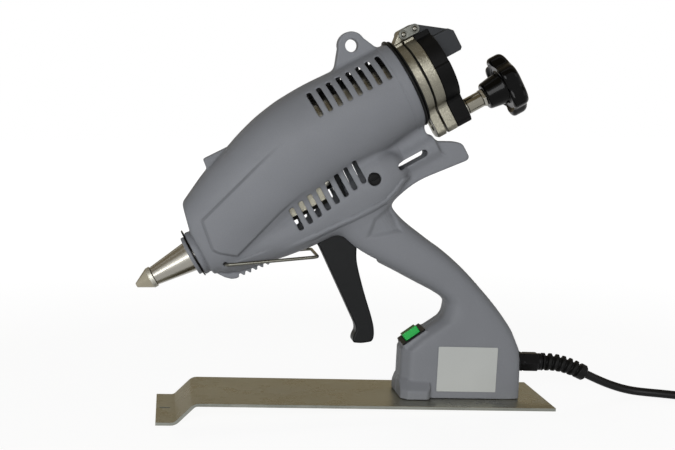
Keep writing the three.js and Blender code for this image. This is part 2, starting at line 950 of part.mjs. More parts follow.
function triggerOutline(angle) {
  const c = Math.cos(angle);
  const s = Math.sin(angle);
  return shareOutline(triggerOutlineShares, triggerLength, triggerLength).map(([across, z]) => {
    const x = across + leanAt(triggerPivot[1]) - leanAt(triggerPivot[1] + z);
    return [triggerPivot[0] + x * c - z * s, triggerPivot[1] + x * s + z * c];
  });
}

// Least u at which the trigger's outline crosses a height v, in the barrel's frame.
function triggerFront(v) {
  const toBarrel = barrelMatrix.clone().invert();
  const points = triggerOutline(0).map(([x, z]) => new THREE.Vector3(x, 0, z).applyMatrix4(toBarrel));
  const crossings = points.map((a, i) => {
    const b = points[(i + 1) % points.length];
    const share = (v - a.z) / (b.z - a.z);
    return share >= 0 && share <= 1 ? THREE.MathUtils.lerp(a.x, b.x, share) : Infinity;
  });
  return Math.min(...crossings);
}

// The folded bail ends just ahead of the trigger.
const bailRear = triggerFront(-bailRearDrop) - bailClearance;

// Room in the shells for the trigger's whole stroke.
function triggerRoom() {
  const side = triggerHalfWidth + runningGap;
  const reach = triggerLength / 2;
  const points = triggerOutline(0).concat(triggerOutline(triggerStroke));
  const upper = points.filter(([, z]) => z > triggerPivot[1] - reach);
  const front = Math.min(...upper.map(([x]) => x)) - runningGap;
  const rear = Math.max(...upper.map(([x]) => x)) + runningGap;
  return slab(
    [
      [front, triggerPivot[1] - reach],
      [rear, triggerPivot[1] - reach],
      [rear, triggerPivot[1] + triggerHubRadius + runningGap],
      [front, triggerPivot[1] + triggerHubRadius + runningGap],
    ],
    -side,
    side,
  );
}

// Bore through the neck ring for the nozzle tube.
function neckBore() {
  const from = frontFace - neckLength - overrun;
  const to = frontFace + wall + overrun;
  return inStand(rod(from, to, tubeRearRadius + seatGap, roundSides));
}

function insideOfShells(inset, floor) {
  return joined(tankLobe(inset, overrun), pumpLobe(inset), handleSkin(inset, floor));
}

// Bulkheads that carry the pump, and bosses for the trigger's pin and the screws.
function innerCarriers() {
  const ribs = [frontRibAlong, rearRibAlong].map((u) => {
    const side = rimRadius;
    return inStand(block(u, u + ribThickness, -side, side, -pumpLobeDepth, crownHeight / 3));
  });
  const pinBoss = crossRod(...triggerPivot, -rimRadius, rimRadius, bossRadius, bossSides);
  const screwBosses = screwPlaces.map(([x, z]) =>
    crossRod(x, z, -rimRadius, rimRadius, bossRadius, bossSides),
  );
  const standBosses = [standScrewRear, standScrewFront].map((x) =>
    upright(-x, -overrun, standBossHeight, standBossRadius, bossSides),
  );
  return [...ribs, pinBoss, ...screwBosses, ...standBosses];
}

function housingBody() {
  const outer = joined(
    tankLobe(0, 0),
    pumpLobe(0),
    handleSkin(0, seatGap),
    toe(),
    inStand(rod(frontFace - neckLength, frontFace + overrun, neckRadius, roundSides)),
    inStand(slab(lugOutline(), -lugHalfThickness, lugHalfThickness)),
    inStand(
      slab(
        shareOutline(tailOutlineShares, tailLength, pumpLobeDepth),
        -webHalfThickness,
        webHalfThickness,
      ),
    ),
    inStand(
      slab(
        shareOutline(nubOutlineShares, tailLength, crownHeight),
        -nubHalfThickness,
        nubHalfThickness,
      ),
    ),
    inStand(slab(keelOutline(), -keelHalfThickness, keelHalfThickness)),
  );
  const cavity = insideOfShells(wall, baseFloor).add(solidOf(neckBore()));
  const pumpPassage = inStand(
    bar(pumpSection(seatGap), frontRibAlong - overrun, rearRibAlong + ribThickness + overrun),
  );
  const tankPassage = inStand(
    atTank(rod(tankStart - seatGap, rearRim, tankRadius + seatGap, roundSides)),
  );
  const pinSide = triggerHalfWidth + runningGap;
  const springSide = pinSide + springLength + 2 * seatGap;
  const pinRoom = crossRod(...triggerPivot, -pinSide, springSide, bossRadius + overrun);
  const carriers = without(
    joined(...innerCarriers()).intersect(insideOfShells(wall / 2, baseFloor / 2)),
    pumpPassage,
    tankPassage,
    pinRoom,
  );
  const shell = without(outer.subtract(cavity).add(carriers), triggerRoom());
  const cuts = [
    ...ventCutters(),
    inStand(slab(tailSlot(), -rimRadius, rimRadius)),
    inStand(crossRod(lugAlong, lugHeight, -rimRadius, rimRadius, lugEyeRadius)),
    inStand(
      crossRod(bailPivotAlong, bailPivotHeight, -rimRadius, rimRadius, wireRadius + seatGap, smallSides),
    ),
    crossRod(
      ...triggerPivot,
      -triggerPinHalfLength - seatGap,
      triggerPinHalfLength + seatGap,
      triggerPinRadius + seatGap,
    ),
  ];
  return without(shell, ...cuts);
}

// Cross-section [y, v] of the pump body, grown by a clearance.
function pumpSection(grow) {
  const w = pumpHalfWidth + grow;
  const h = pumpHalfHeight + grow;
  const c = pumpChamfer;
  return [
    [-w, -h + c],
    [-w + c, -h],
    [w - c, -h],
    [w, -h + c],
    [w, h - c],
    [w - c, h],
    [-w + c, h],
    [-w, h - c],
  ];
}

// Oblong place of the switch in the base, in the stand's frame.
function onSlope(geometry) {
  return geometry
    .rotateY(-slopeAngle)
    .translate(-switchPlaceX, 0, switchPlaceZ);
}

function housingShells() {
  const far = 2 * plateLength;
  const switchHole = onSlope(
    block(
      -switchBodyLength / 2 - seatGap,
      switchBodyLength / 2 + seatGap,
      -switchBodyWidth / 2 - seatGap,
      switchBodyWidth / 2 + seatGap,
      -switchBodyDepth - overrun,
      bezelThickness + overrun,
    ),
  );
  const glandHole = rod(-baseReach / 2, overrun, glandHoleRadius + seatGap, smallSides).translate(
    0,
    0,
    glandHeight,
  );
  const standScrewHoles = [standScrewRear, standScrewFront].map((x) =>
    upright(-x, -overrun, standScrewReach, standScrewRadius + seatGap),
  );
  const whole = without(housingBody(), switchHole, glandHole, ...standScrewHoles);
  const leftHalf = solidOf(block(-far, far, -far, -seatGap / 2, -far, far));
  const rightHalf = solidOf(block(-far, far, seatGap / 2, far, -far, far));
  const screwBores = screwPlaces.map(([x, z]) =>
    crossRod(
      x,
      z,
      -screwSeatDepth - seatGap,
      rimRadius,
      screwRadius + seatGap,
      bossSides,
    ),
  );
  const headBores = screwPlaces.map(([x, z]) =>
    crossRod(x, z, screwHeadSeat, rimRadius, screwHeadRadius + seatGap, bossSides + 2),
  );
  const dialHole = inStand(
    crossRod(dialAlong, dialHeight, -rimRadius, 0, dialRadius + seatGap),
  );
  const left = without(whole.intersect(leftHalf), ...screwBores, dialHole);
  const right = without(whole.intersect(rightHalf), ...screwBores, ...headBores);
  return { left, right };
}

// Largest body of a solid, without the slivers that a cut leaves.
function largest(solid) {
  const bodies = solid.simplify(smallestDetail).decompose();
  return bodies.reduce((a, b) => (a.volume() > b.volume() ? a : b));
}

function addHousing() {
  const { left, right } = housingShells();
  add(stand, "housing_left", largest(left), mouldedGrey());
  add(stand, "housing_right", largest(right), mouldedGrey());
}

// Nozzle: tip, tapered tube, collar and clip, on the barrel's axis
const bandEnd = coneLength + bandLength;
const tubeShoulder = bandEnd + seatGap;
const neckFront = frontFace - neckLength;
const pumpFront = frontFace + wall + seatGap;
const pumpRear = pumpFront + pumpLength;

function addNozzle() {
  const tip = turned([
    [0, boreRadius],
    [0, tipFlatRadius],
    [coneLength, coneRadius],
    [bandEnd, coneRadius],
    [bandEnd, threadRadius + seatGap],
    [bandEnd - threadLength, threadRadius + seatGap],
    [bandEnd - threadLength, boreRadius],
    [0, boreRadius],
  ]);
  add(barrel, "nozzle_tip", tip, polishedSteel());

  const tube = turned([
    [tubeShoulder - threadLength, feedRadius],
    [tubeShoulder - threadLength, threadRadius],
    [tubeShoulder, threadRadius],
    [tubeShoulder, tubeFrontRadius],
    [tubeShoulder + tubeTaperLength, tubeRearRadius],
    [pumpFront - seatGap, tubeRearRadius],
    [pumpFront - seatGap, feedRadius],
    [tubeShoulder - threadLength, feedRadius],
  ]);
  add(barrel, "nozzle_tube", tube, polishedSteel());

  const clipRear = neckFront - seatGap;
  const clipFront = clipRear - clipThickness;
  const bore = tubeRearRadius + seatGap;
  const disc = ring(clipFront, clipRear, bore, clipRadius);
  const half = clipTongueWidth / 2;
  const tongue = block(clipFront, clipRear, -half, half, bore + overrun, clipTongueRise);
  add(barrel, "nozzle_clip", joined(disc, tongue), rubberBlack());
  const collarRear = clipFront - seatGap;
  const collar = ring(collarRear - collarWidth, collarRear, bore, collarRadius);
  add(barrel, "nozzle_collar", collar, mouldedGrey());
}

// Pump: a block with the piston's bore and two bores for the heaters
function addPump() {
  const heaterBores = [-1, 1].map((side) =>
    circleHole(side * heaterSide, -heaterSide, heaterRadius + seatGap),
  );
  const body = bar(pumpSection(0), pumpFront, pumpRear, [
    circleHole(0, 0, pumpBore),
    ...heaterBores,
  ]);
  const portAlong = pumpRear - feedPortSetback;
  const port = upright(portAlong, 0, pumpHalfHeight + overrun, feedPortRadius);
  add(barrel, "pump_body", without(solidOf(body), port), castAluminium());

  const heaterFront = (pumpFront + pumpRear - heaterLength) / 2;
  [-1, 1].forEach((side, i) => {
    const heater = rod(heaterFront, heaterFront + heaterLength, heaterRadius);
    const name = "heater_cartridge_" + (i + 1);
    add(barrel, name, heater, polishedSteel(), 0, side * heaterSide, -heaterSide);
  });

  const ball = new THREE.SphereGeometry(ballRadius, smallSides, smallSides / 2);
  add(barrel, "check_ball", ball, polishedSteel(), pumpFront + ballSetback, 0, 0);
}

// The push arm of the trigger swings evenly about the upright over its pivot.
const pushLeanAtRest = triggerStroke / 2;
const pushPinAlong = triggerPivotAlong + triggerPivotDrop * Math.sin(pushLeanAtRest);
const pushPinHeight = -triggerPivotDrop + triggerPivotDrop * Math.cos(pushLeanAtRest);

function addPiston() {
  const headRear = pushPinAlong - pushArmRadius - seatGap;
  const headFront = headRear - pistonHeadThickness;
  const piston = turned([
    [headFront - pistonLength, 0],
    [headFront - pistonLength, pistonRadius],
    [headFront, pistonRadius],
    [headFront, pistonHeadRadius],
    [headRear, pistonHeadRadius],
    [headRear, 0],
  ]);
  add(barrel, "piston", piston, polishedSteel());
}

// Tank: a cup with a flange ring, a hinge ear above and a clamp ear below
const flangeFront = rearRim + flangeSetback;
const flangeRear = flangeFront + flangeThickness;
const tankStart = flangeRear - tankLength;
const tankBore = tankRadius - tankWall;
const hingeAlong = flangeRear + hingeSetback;
const earBoreRadius = threadedRadius + runningGap;

// Side outline [u, v] of a hinge eye round a pin, joined to a foot.
function eyeOutline(u, v, radius, from, to, foot) {
  const arc = Array.from({ length: arcSteps + 1 }, (_, i) => {
    const angle = from + ((to - from) * i) / arcSteps;
    return [u + radius * Math.cos(angle), v + radius * Math.sin(angle)];
  });
  return [...arc, ...foot];
}

// Ear of a ring that takes the clamp spindle, as a cross-section [y, v] pushed along u.
function clampEar(uLow, uHigh, halfWidth) {
  const section = [
    [-halfWidth, tankRise - flangeRadius / 2],
    [-halfWidth, -earDrop + earChamfer],
    [-halfWidth + earChamfer, -earDrop],
    [halfWidth - earChamfer, -earDrop],
    [halfWidth, -earDrop + earChamfer],
    [halfWidth, tankRise - flangeRadius / 2],
  ];
  return bar(section, uLow, uHigh);
}

const atTank = (geometry) => geometry.translate(0, 0, tankRise);

function addTank() {
  const outside = turned([
    [tankStart, 0],
    [tankStart, tankNoseRadius],
    [tankStart + tankNoseLength, tankRadius],
    [flangeFront, tankRadius],
    [flangeFront, flangeRadius],
    [flangeRear, flangeRadius],
    [flangeRear, 0],
  ]);
  const inside = turned([
    [tankStart + tankWall, 0],
    [tankStart + tankWall, tankNoseRadius - tankWall],
    [tankStart + tankNoseLength, tankBore],
    [flangeRear + overrun, tankBore],
    [flangeRear + overrun, 0],
  ]);
  const eye = eyeOutline(hingeAlong, hingeRise, linkRadius, ...earArc, [
    [flangeFront, hingeRise - linkRadius],
    [flangeFront, tankRise + flangeRadius - tankWall],
    [flangeRear, tankRise + flangeRadius - tankWall],
    [flangeRear, hingeRise - linkRadius],
  ]);
  const eyeHalf = hingeHalfWidth - linkThickness - seatGap;
  const solid = joined(
    atTank(outside),
    clampEar(flangeFront, flangeRear, earHalfWidth),
    slab(eye, -eyeHalf, eyeHalf),
  );
  const portAlong = pumpRear - feedPortSetback;
  const tank = without(
    solid,
    atTank(inside),
    rod(flangeFront - overrun, flangeRear + overrun, earBoreRadius),
    upright(portAlong, 0, tankRise, feedPortRadius),
    crossRod(hingeAlong, hingeRise, -hingeHalfWidth, hingeHalfWidth, hingePinRadius + seatGap),
  );
  add(barrel, "tank", tank, castAluminium());
}

// Twin-lip seal between the housing's rim and the tank
function addTankSeal() {
  const inner = tankRadius + seatGap;
  const front = rearRim + seatGap;
  const rear = flangeFront - seatGap;
  const seal = turned([
    [front, inner],
    [front, sealRadius],
    [front + sealLipThickness, sealRadius],
    [front + sealLipThickness, sealGrooveRadius],
    [rear - sealLipThickness, sealGrooveRadius],
    [rear - sealLipThickness, sealRadius - sealLipThickness],
    [rear, sealRadius - sealLipThickness],
    [rear, inner],
    [front, inner],
  ]);
  add(barrel, "tank_seal", atTank(seal), rubberBlack());
}

// Lid: gasket, ring, cover and arm
const gasketFront = flangeRear + seatGap;
const lidFront = gasketFront + gasketThickness + seatGap;
const lidRear = lidFront + lidThickness;
const coverFront = lidRear + seatGap;
const coverRear = coverFront + coverThickness;

function addLid() {
  const plugRadius = tankBore - lidPlugClearance;
  const gasket = ring(gasketFront, gasketFront + gasketThickness, tankBore, gasketRadius);
  add(barrel, "lid_gasket", atTank(gasket), rubberBlack());

  const disc = turned([
    [lidFront - lidPlugLength, plugRadius - lidPlugWall],
    [lidFront - lidPlugLength, plugRadius],
    [lidFront, plugRadius],
    [lidFront, flangeRadius],
    [lidRear, flangeRadius],
    [lidRear, 0],
    [lidFront, 0],
    [lidFront, plugRadius - lidPlugWall],
    [lidFront - lidPlugLength, plugRadius - lidPlugWall],
  ]);
  const lid = without(
    joined(atTank(disc), clampEar(lidFront, lidRear, earHalfWidth)),
    rod(lidFront - overrun, lidRear + overrun, threadedRadius + seatGap),
  );
  add(barrel, "lid_ring", lid, castAluminium());

  const pocket = rod(coverFront - overrun, coverRear - lidPlugWall, plugRadius, roundSides);
  const cover = without(
    joined(
      atTank(rod(coverFront, coverRear, coverRadius, roundSides)),
      clampEar(coverFront, coverRear, coverEarHalfWidth),
    ),
    atTank(pocket),
    rod(coverFront - overrun, coverRear + overrun, threadedRadius + seatGap),
  );
  add(barrel, "lid_cover", cover, rubberBlack());
}

// Hinge: two pins, two pill-shaped links, and the lid's arm with its block
function addHinge() {
  const second = hingeAlong + linkSpan;
  [hingeAlong, second].forEach((u, i) => {
    const pin = crossRod(u, hingeRise, -hingeHalfWidth, hingeHalfWidth, hingePinRadius);
    add(barrel, "hinge_pin_" + (i + 1), pin, polishedSteel());
  });

  const end = (u, from) =>
    Array.from({ length: arcSteps + 1 }, (_, i) => {
      const angle = from + (Math.PI * i) / arcSteps;
      return [u + linkRadius * Math.cos(angle), hingeRise + linkRadius * Math.sin(angle)];
    });
  const pill = [...end(second, -Math.PI / 2), ...end(hingeAlong, Math.PI / 2)];
  const bores = () =>
    [hingeAlong, second].map((u) => circleHole(u, hingeRise, hingePinRadius + seatGap));
  const inner = hingeHalfWidth - linkThickness;
  const left = slab(pill, -hingeHalfWidth, -inner, bores());
  const right = slab(pill, inner, hingeHalfWidth, bores());
  add(barrel, "hinge_link_left", left, castAluminium());
  add(barrel, "hinge_link_right", right, castAluminium());

  const overCover = tankRise + coverRadius + runningGap;
  const blockFront = coverRear + seatGap;
  const blockRear = blockFront + blockLength;
  const arm = eyeOutline(second, hingeRise, armRise, ...armArc, [
    [second + armRise, overCover],
    [blockFront, overCover],
    [blockFront, blockBottom + earChamfer],
    [(blockFront + blockRear) / 2, blockBottom + earChamfer],
    [blockRear - earChamfer, blockTop],
  ]);
  const blockOutline = [
    [blockFront, blockBottom],
    [blockRear - earChamfer / 2, blockBottom],
    [blockRear, blockBottom + earChamfer / 2],
    [blockRear, blockTop - earChamfer],
    [blockRear - earChamfer, blockTop],
    [blockFront, blockTop],
  ];
  const bore = crossRod(second, hingeRise, -hingeHalfWidth, hingeHalfWidth, hingePinRadius + seatGap);
  const lidArm = without(
    joined(
      slab(arm, -armHalfWidth, armHalfWidth),
      slab(blockOutline, -blockHalfWidth, blockHalfWidth),
    ),
    bore,
  );
  add(barrel, "lid_arm", lidArm, mouldedBlack());
}

// Clamp: spindle, captive washer, lock nut and star knob on the nozzle's axis
function starOutline() {
  const steps = starLobes * starLobeSteps;
  return Array.from({ length: steps }, (_, i) => {
    const angle = (i / steps) * 2 * Math.PI;
    const lobe = Math.abs(Math.cos(((angle + starNotchAngle) * starLobes) / 2 + Math.PI / 2));
    const radius = starRadius - starBevel - starLobeDepth * (1 - lobe);
    return [radius * Math.cos(angle), radius * Math.sin(angle)];
  });
}

function addClamp() {
  const washerFront = coverRear + seatGap;
  const washerRear = washerFront + washerThickness;
  const washer = ring(washerFront, washerRear, threadedRadius + seatGap, washerRadius, smallSides);
  add(barrel, "clamp_washer", washer, polishedSteel());

  const sleeveFront = washerRear + seatGap;
  const sleeveRear = sleeveFront + sleeveLength;
  const nutRear = sleeveRear + seatGap + lockNutThickness;
  const hubFront = nutRear + seatGap;
  const studEnd = hubFront + studLength;
  const tip = flangeRear - spindleTipReach;
  const spindle = turned(
    [
      [tip, 0],
      [tip, threadedRadius],
      [sleeveFront, threadedRadius],
      [sleeveFront, sleeveRadius],
      [sleeveRear, sleeveRadius],
      [sleeveRear, studRadius],
      [studEnd, studRadius],
      [studEnd, 0],
    ],
    smallSides,
  );
  add(barrel, "clamp_spindle", spindle, polishedSteel());

  const nut = hexNut(sleeveRear + seatGap, nutRear, studRadius + seatGap, lockNutRadius);
  add(barrel, "lock_nut", nut, polishedSteel());

  const hubRear = hubFront + hubLength;
  const hub = turned([
    [hubFront, 0],
    [hubFront, hubFrontRadius],
    [hubRear, hubRearRadius],
    [hubRear + overrun, hubRearRadius],
    [hubRear + overrun, 0],
  ]);
  const shape = new THREE.Shape(starOutline().map(([x, y]) => new THREE.Vector2(x, y)));
  const star = new THREE.ExtrudeGeometry(shape, {
    depth: starThickness - 2 * starBevel,
    bevelEnabled: true,
    bevelThickness: starBevel,
    bevelSize: starBevel,
    bevelSegments: 1,
  });
  star.rotateY(Math.PI / 2).translate(hubRear + starBevel, 0, 0);
  const capFront = hubRear + starThickness - overrun;
  const cap = rod(capFront, capFront + starCapRise + overrun, hubRearRadius, roundSides);
  const bore = rod(hubFront - overrun, studEnd + seatGap, studRadius + seatGap);
  add(barrel, "star_knob", without(joined(hub, star, cap), bore), glossBlack());
}

// Trigger with its hub and the arm that pushes the piston
function addTrigger() {
  const blade = slab(triggerOutline(0), -triggerHalfWidth, triggerHalfWidth);
  const hub = crossRod(...triggerPivot, -triggerHalfWidth, triggerHalfWidth, triggerHubRadius);
  const head = standPoint(pushPinAlong, pushPinHeight);
  const along = new THREE.Vector2(head[0] - triggerPivot[0], head[1] - triggerPivot[1]);
  const across = along.clone().normalize().multiplyScalar(pushArmHalfWidth);
  const armOutline = [
    [triggerPivot[0] + across.y, triggerPivot[1] - across.x],
    [head[0] + across.y, head[1] - across.x],
    [head[0] - across.y, head[1] + across.x],
    [triggerPivot[0] - across.y, triggerPivot[1] + across.x],
  ];
  const armSide = triggerHalfWidth - pushArmThickness;
  const trigger = without(
    joined(
      blade,
      hub,
      slab(armOutline, -armSide, armSide),
      crossRod(...head, -armSide, armSide, pushArmRadius),
    ),
    crossRod(...triggerPivot, -rimRadius, rimRadius, triggerPinRadius + seatGap),
  );
  add(stand, "trigger", trigger, mouldedBlack());

  const pin = crossRod(
    ...triggerPivot,
    -triggerPinHalfLength,
    triggerPinHalfLength,
    triggerPinRadius,
  );
  add(stand, "trigger_pin", pin, polishedSteel());
}

// Torsion spring beside the trigger's hub
function addTriggerSpring() {
  const steps = springCurls * springCurlSteps;
  const start = triggerHalfWidth + runningGap + springWireRadius + seatGap;
  const pitch = (springLength - 2 * springWireRadius) / springCurls;
  const rings = Array.from({ length: steps + 1 }, (_, i) => {
    const angle = (i / steps) * springCurls * 2 * Math.PI;
    const y = start + (pitch * i) / springCurlSteps;
    return Array.from({ length: springWireSides }, (_, k) => {
      const turn = (k / springWireSides) * 2 * Math.PI;
      const radius = springCoilRadius + springWireRadius * Math.cos(turn);
      return [
        triggerPivot[0] + radius * Math.cos(angle),
        y + springWireRadius * Math.sin(turn),
        triggerPivot[1] + radius * Math.sin(angle),
      ];
    });
  });
  add(stand, "trigger_spring", loft(rings), polishedSteel());
}

// Temperature adjuster in the left shell, with the thermostat behind it
const dialFace = -(pumpLobeShares[7][3] * pumpLobeDepth) - seatGap;

function addAdjuster() {
  const inner = dialFace + dialThickness;
  const slot = block(
    dialAlong - dialRadius - overrun,
    dialAlong + dialRadius + overrun,
    dialFace - overrun,
    dialFace + dialSlotDepth,
    dialHeight - dialSlotWidth / 2,
    dialHeight + dialSlotWidth / 2,
  );
  const dial = without(
    joined(
      crossRod(dialAlong, dialHeight, dialFace, inner, dialRadius),
      crossRod(dialAlong, dialHeight, dialFace + dialSlotDepth, inner + dialShaftLength, dialShaftRadius),
    ),
    slot,
  );
  add(barrel, "temperature_dial", dial, mouldedBlack());

  const half = thermostatSide / 2;
  const face = inner + seatGap;
  const body = without(
    solidOf(
      block(
        dialAlong - half,
        dialAlong + half,
        face,
        face + thermostatDepth,
        dialHeight - half,
        dialHeight + half,
      ),
    ),
    crossRod(
      dialAlong,
      dialHeight,
      face - overrun,
      face + dialShaftLength + seatGap,
      dialShaftRadius + seatGap,
    ),
  );
  add(barrel, "thermostat", body, ceramicWhite());
}

// Wire bail: a round wire bent into a U, its ends turned into the shell
function addBail() {
  const start = [bailPivotAlong, bailPivotHeight];
  const direction = new THREE.Vector2(
    bailRear - bailPivotAlong,
    -bailRearDrop - bailPivotHeight,
  ).normalize();
  const at = (distance, y) =>
    new THREE.Vector3(start[0] + direction.x * distance, y, start[1] + direction.y * distance);
  const length = Math.hypot(bailRear - bailPivotAlong, bailRearDrop + bailPivotHeight);
  const short = bailBend * (1 - Math.SQRT1_2);
  const straight = bailHalfWidth - bailBend;
  const side = (sign) => [
    at(0, sign * (straight - bailEndReach)),
    at(0, sign * (straight - bailEndReach / 2)),
    at(0, sign * straight),
    at(short, sign * (bailHalfWidth - short)),
    at(bailBend, sign * bailHalfWidth),
    at(2 * bailBend, sign * bailHalfWidth),
    at(length - 2 * bailBend, sign * bailHalfWidth),
    at(length - bailBend, sign * bailHalfWidth),
    at(length - short, sign * (bailHalfWidth - short)),
    at(length, sign * straight),
  ];
  const points = [...side(-1), at(length, 0), ...side(1).reverse()];
  const curve = new THREE.CatmullRomCurve3(points, false, "chordal");
  add(barrel, "wire_bail", tube(curve, wireRadius, bailSteps, bailSides), polishedSteel());
}

// Switch body with its bezel, and the rocker in it
function addSwitch() {
  const bezel = block(
    -bezelLength / 2,
    bezelLength / 2,
    -bezelWidth / 2,
    bezelWidth / 2,
    seatGap,
    seatGap + bezelThickness,
  );
  const body = block(
    -switchBodyLength / 2,
    switchBodyLength / 2,
    -switchBodyWidth / 2,
    switchBodyWidth / 2,
    -switchBodyDepth,
    seatGap + bezelThickness / 2,
  );
  const pocketX = rockerLength / 2 + seatGap;
  const pocketY = rockerWidth / 2 + runningGap;
  const pocket = block(
    -pocketX,
    pocketX,
    -pocketY,
    pocketY,
    -rockerPocketDepth,
    bezelThickness + overrun,
  );
  const housing = onSlope(geometryOf(without(joined(bezel, body), pocket)));
  add(stand, "switch_body", housing, mouldedBlack());

  const w = rockerWidth / 2;
  const section = [
    [-w, -rockerRootDepth],
    [-w / 3, -2 * rockerRootDepth],
    [w / 3, -2 * rockerRootDepth],
    [w, -rockerRootDepth],
    [w, rockerRise],
    [0, rockerRise - rockerDip],
    [-w, rockerRise],
  ];
  const rocker = bar(section, -rockerLength / 2, rockerLength / 2).rotateX(-rockerTilt);
  add(stand, "switch_rocker", onSlope(rocker), switchGreen());
}

// Bare label plate on the left of the base
function addLabel() {
  const near = -baseHalfWidth - seatGap;
  const plate = block(
    -labelRear - labelLength,
    -labelRear,
    near - labelThickness,
    near,
    labelBottom,
    labelBottom + labelHeight,
  );
  add(stand, "label_plate", plate, labelSilver());
}

// Board and terminals on the base's floor
function addElectrics() {
  const floor = baseFloor + seatGap;
  const board = block(
    -boardRear - boardLength,
    -boardRear,
    boardSide,
    boardSide + boardThickness,
    floor,
    floor + boardHeight,
  );
  add(stand, "controller_board", board, boardGreen());
  const terminals = block(
    -terminalRear - terminalLength,
    -terminalRear,
    -terminalHalfWidth,
    terminalHalfWidth,
    floor,
    floor + terminalHeight,
  );
  add(stand, "terminal_block", terminals, ceramicWhite());
}

// Screws that hold the shells together, put in from the right
function addHousingScrews() {
  screwPlaces.forEach(([x, z], i) => {
    const screw = joined(
      crossRod(x, z, -screwSeatDepth, screwHeadSeat + seatGap + screwHeadHeight / 2, screwRadius),
      crossRod(
        x,
        z,
        screwHeadSeat + seatGap,
        screwHeadSeat + seatGap + screwHeadHeight,
        screwHeadRadius,
      ),
    );
    add(stand, "housing_screw_" + (i + 1), screw, polishedSteel());
  });
}

// Cable gland in the rear of the base
const baseRearX = -handleSectionShares[10][0] * baseReach;

function addGland() {
  const flangeStart = baseRearX + seatGap;
  const flangeEnd = flangeStart + glandFlangeThickness;
  const nutStart = flangeEnd + seatGap;
  const bore = cordRadius + seatGap;
  const gland = turned([
    [flangeStart - glandSleeveLength, bore],
    [flangeStart - glandSleeveLength, glandHoleRadius],
    [flangeStart, glandHoleRadius],
    [flangeStart, glandFlangeRadius],
    [flangeEnd, glandFlangeRadius],
    [flangeEnd, bore],
    [flangeStart - glandSleeveLength, bore],
  ]);
  add(stand, "cable_gland", gland, mouldedBlack(), 0, 0, glandHeight);

  const hexEnd = nutStart + glandNutLength;
  const dome = ring(hexEnd - overrun, hexEnd + glandDomeLength, bore, glandHoleRadius);
  const nut = hexNut(nutStart, hexEnd, bore, glandNutRadius).add(solidOf(dome));
  add(stand, "gland_nut", nut, mouldedBlack(), 0, 0, glandHeight);
}

// Rings of points round a route, square to it, upright in the route's own plane.
function ringsAlong(curve, count, sides, radiusAt) {
  return Array.from({ length: count + 1 }, (_, i) => {
    const t = i / count;
    const point = curve.getPointAt(t);
    const tangent = curve.getTangentAt(t);
    const side = new THREE.Vector3(0, 0, 1).cross(tangent).normalize();
    const up = tangent.clone().cross(side);
    return Array.from({ length: sides }, (_, k) => {
      const angle = (k / sides) * 2 * Math.PI;
      const radius = radiusAt(i);
      return point
        .clone()
        .addScaledVector(side, radius * Math.cos(angle))
        .addScaledVector(up, radius * Math.sin(angle))
        .toArray();
    });
  });
}

const routeCurve = (route) =>
  new THREE.CatmullRomCurve3(
    route.map((p) => new THREE.Vector3(...p)),
    false,
    "centripetal",
  );

function addCordLead() {
  const protector = routeCurve(protectorRoute);
  const count = protectorRibs * 2 + 1;
  const taper = (i) => THREE.MathUtils.lerp(protectorRadius, protectorEndRadius, i / count);
  const ribbed = (i) => taper(i) - (i % 2 ? protectorRibDepth : 0);
  const skin = loft(ringsAlong(protector, count, protectorSides, ribbed));
  add(ground, "bend_protector", skin, rubberBlack());

  const lead = routeCurve(leadRoute);
  const steps = Math.round(lead.getLength() / cordStep) * 2;
  add(ground, "cord_lead", tube(lead, cordRadius, steps, cordSides), rubberBlack());
  return protector.getLength() + lead.getLength();
}

// Coil: a spiral in on the ground, a climbing half turn, and a spiral out on top
function coilFrom(startPoint, middleRadius) {
  const turnsPerLayer = (coilTurns - 1 / 2) / 2;
  const inner = middleRadius - (turnsPerLayer * coilPitch) / 2;
  const outer = middleRadius + (turnsPerLayer * coilPitch) / 2;
  const centre = new THREE.Vector2(startPoint[0], startPoint[1]).sub(
    new THREE.Vector2(Math.cos(coilStartAngle), Math.sin(coilStartAngle)).multiplyScalar(outer),
  );
  const count = Math.round(coilTurns * coilStepsPerTurn);
  const points = Array.from({ length: count + 1 }, (_, i) => {
    const turn = (i / count) * coilTurns;
    const climb = THREE.MathUtils.clamp((turn - turnsPerLayer) * 2, 0, 1);
    const dip = coilDip * Math.sin(climb * Math.PI);
    const radius =
      climb === 0
        ? outer - coilPitch * turn
        : climb === 1
          ? inner + coilPitch * (turn - turnsPerLayer - 1 / 2)
          : inner - dip;
    const angle = coilStartAngle + turn * 2 * Math.PI;
    return new THREE.Vector3(
      centre.x + radius * Math.cos(angle),
      centre.y + radius * Math.sin(angle),
      startPoint[2] + coilLayerRise * climb,
    );
  });
  return { points, centre, inner, outer };
}

// Least distance between stretches of a wound tube that lie over half a turn apart.
function leastGap(points, radius, apart) {
  let least = Infinity;
  points.forEach((p, i) => {
    for (let j = i + apart; j < points.length; j++) {
      least = Math.min(least, p.distanceTo(points[j]));
    }
  });
  return least - 2 * radius;
}

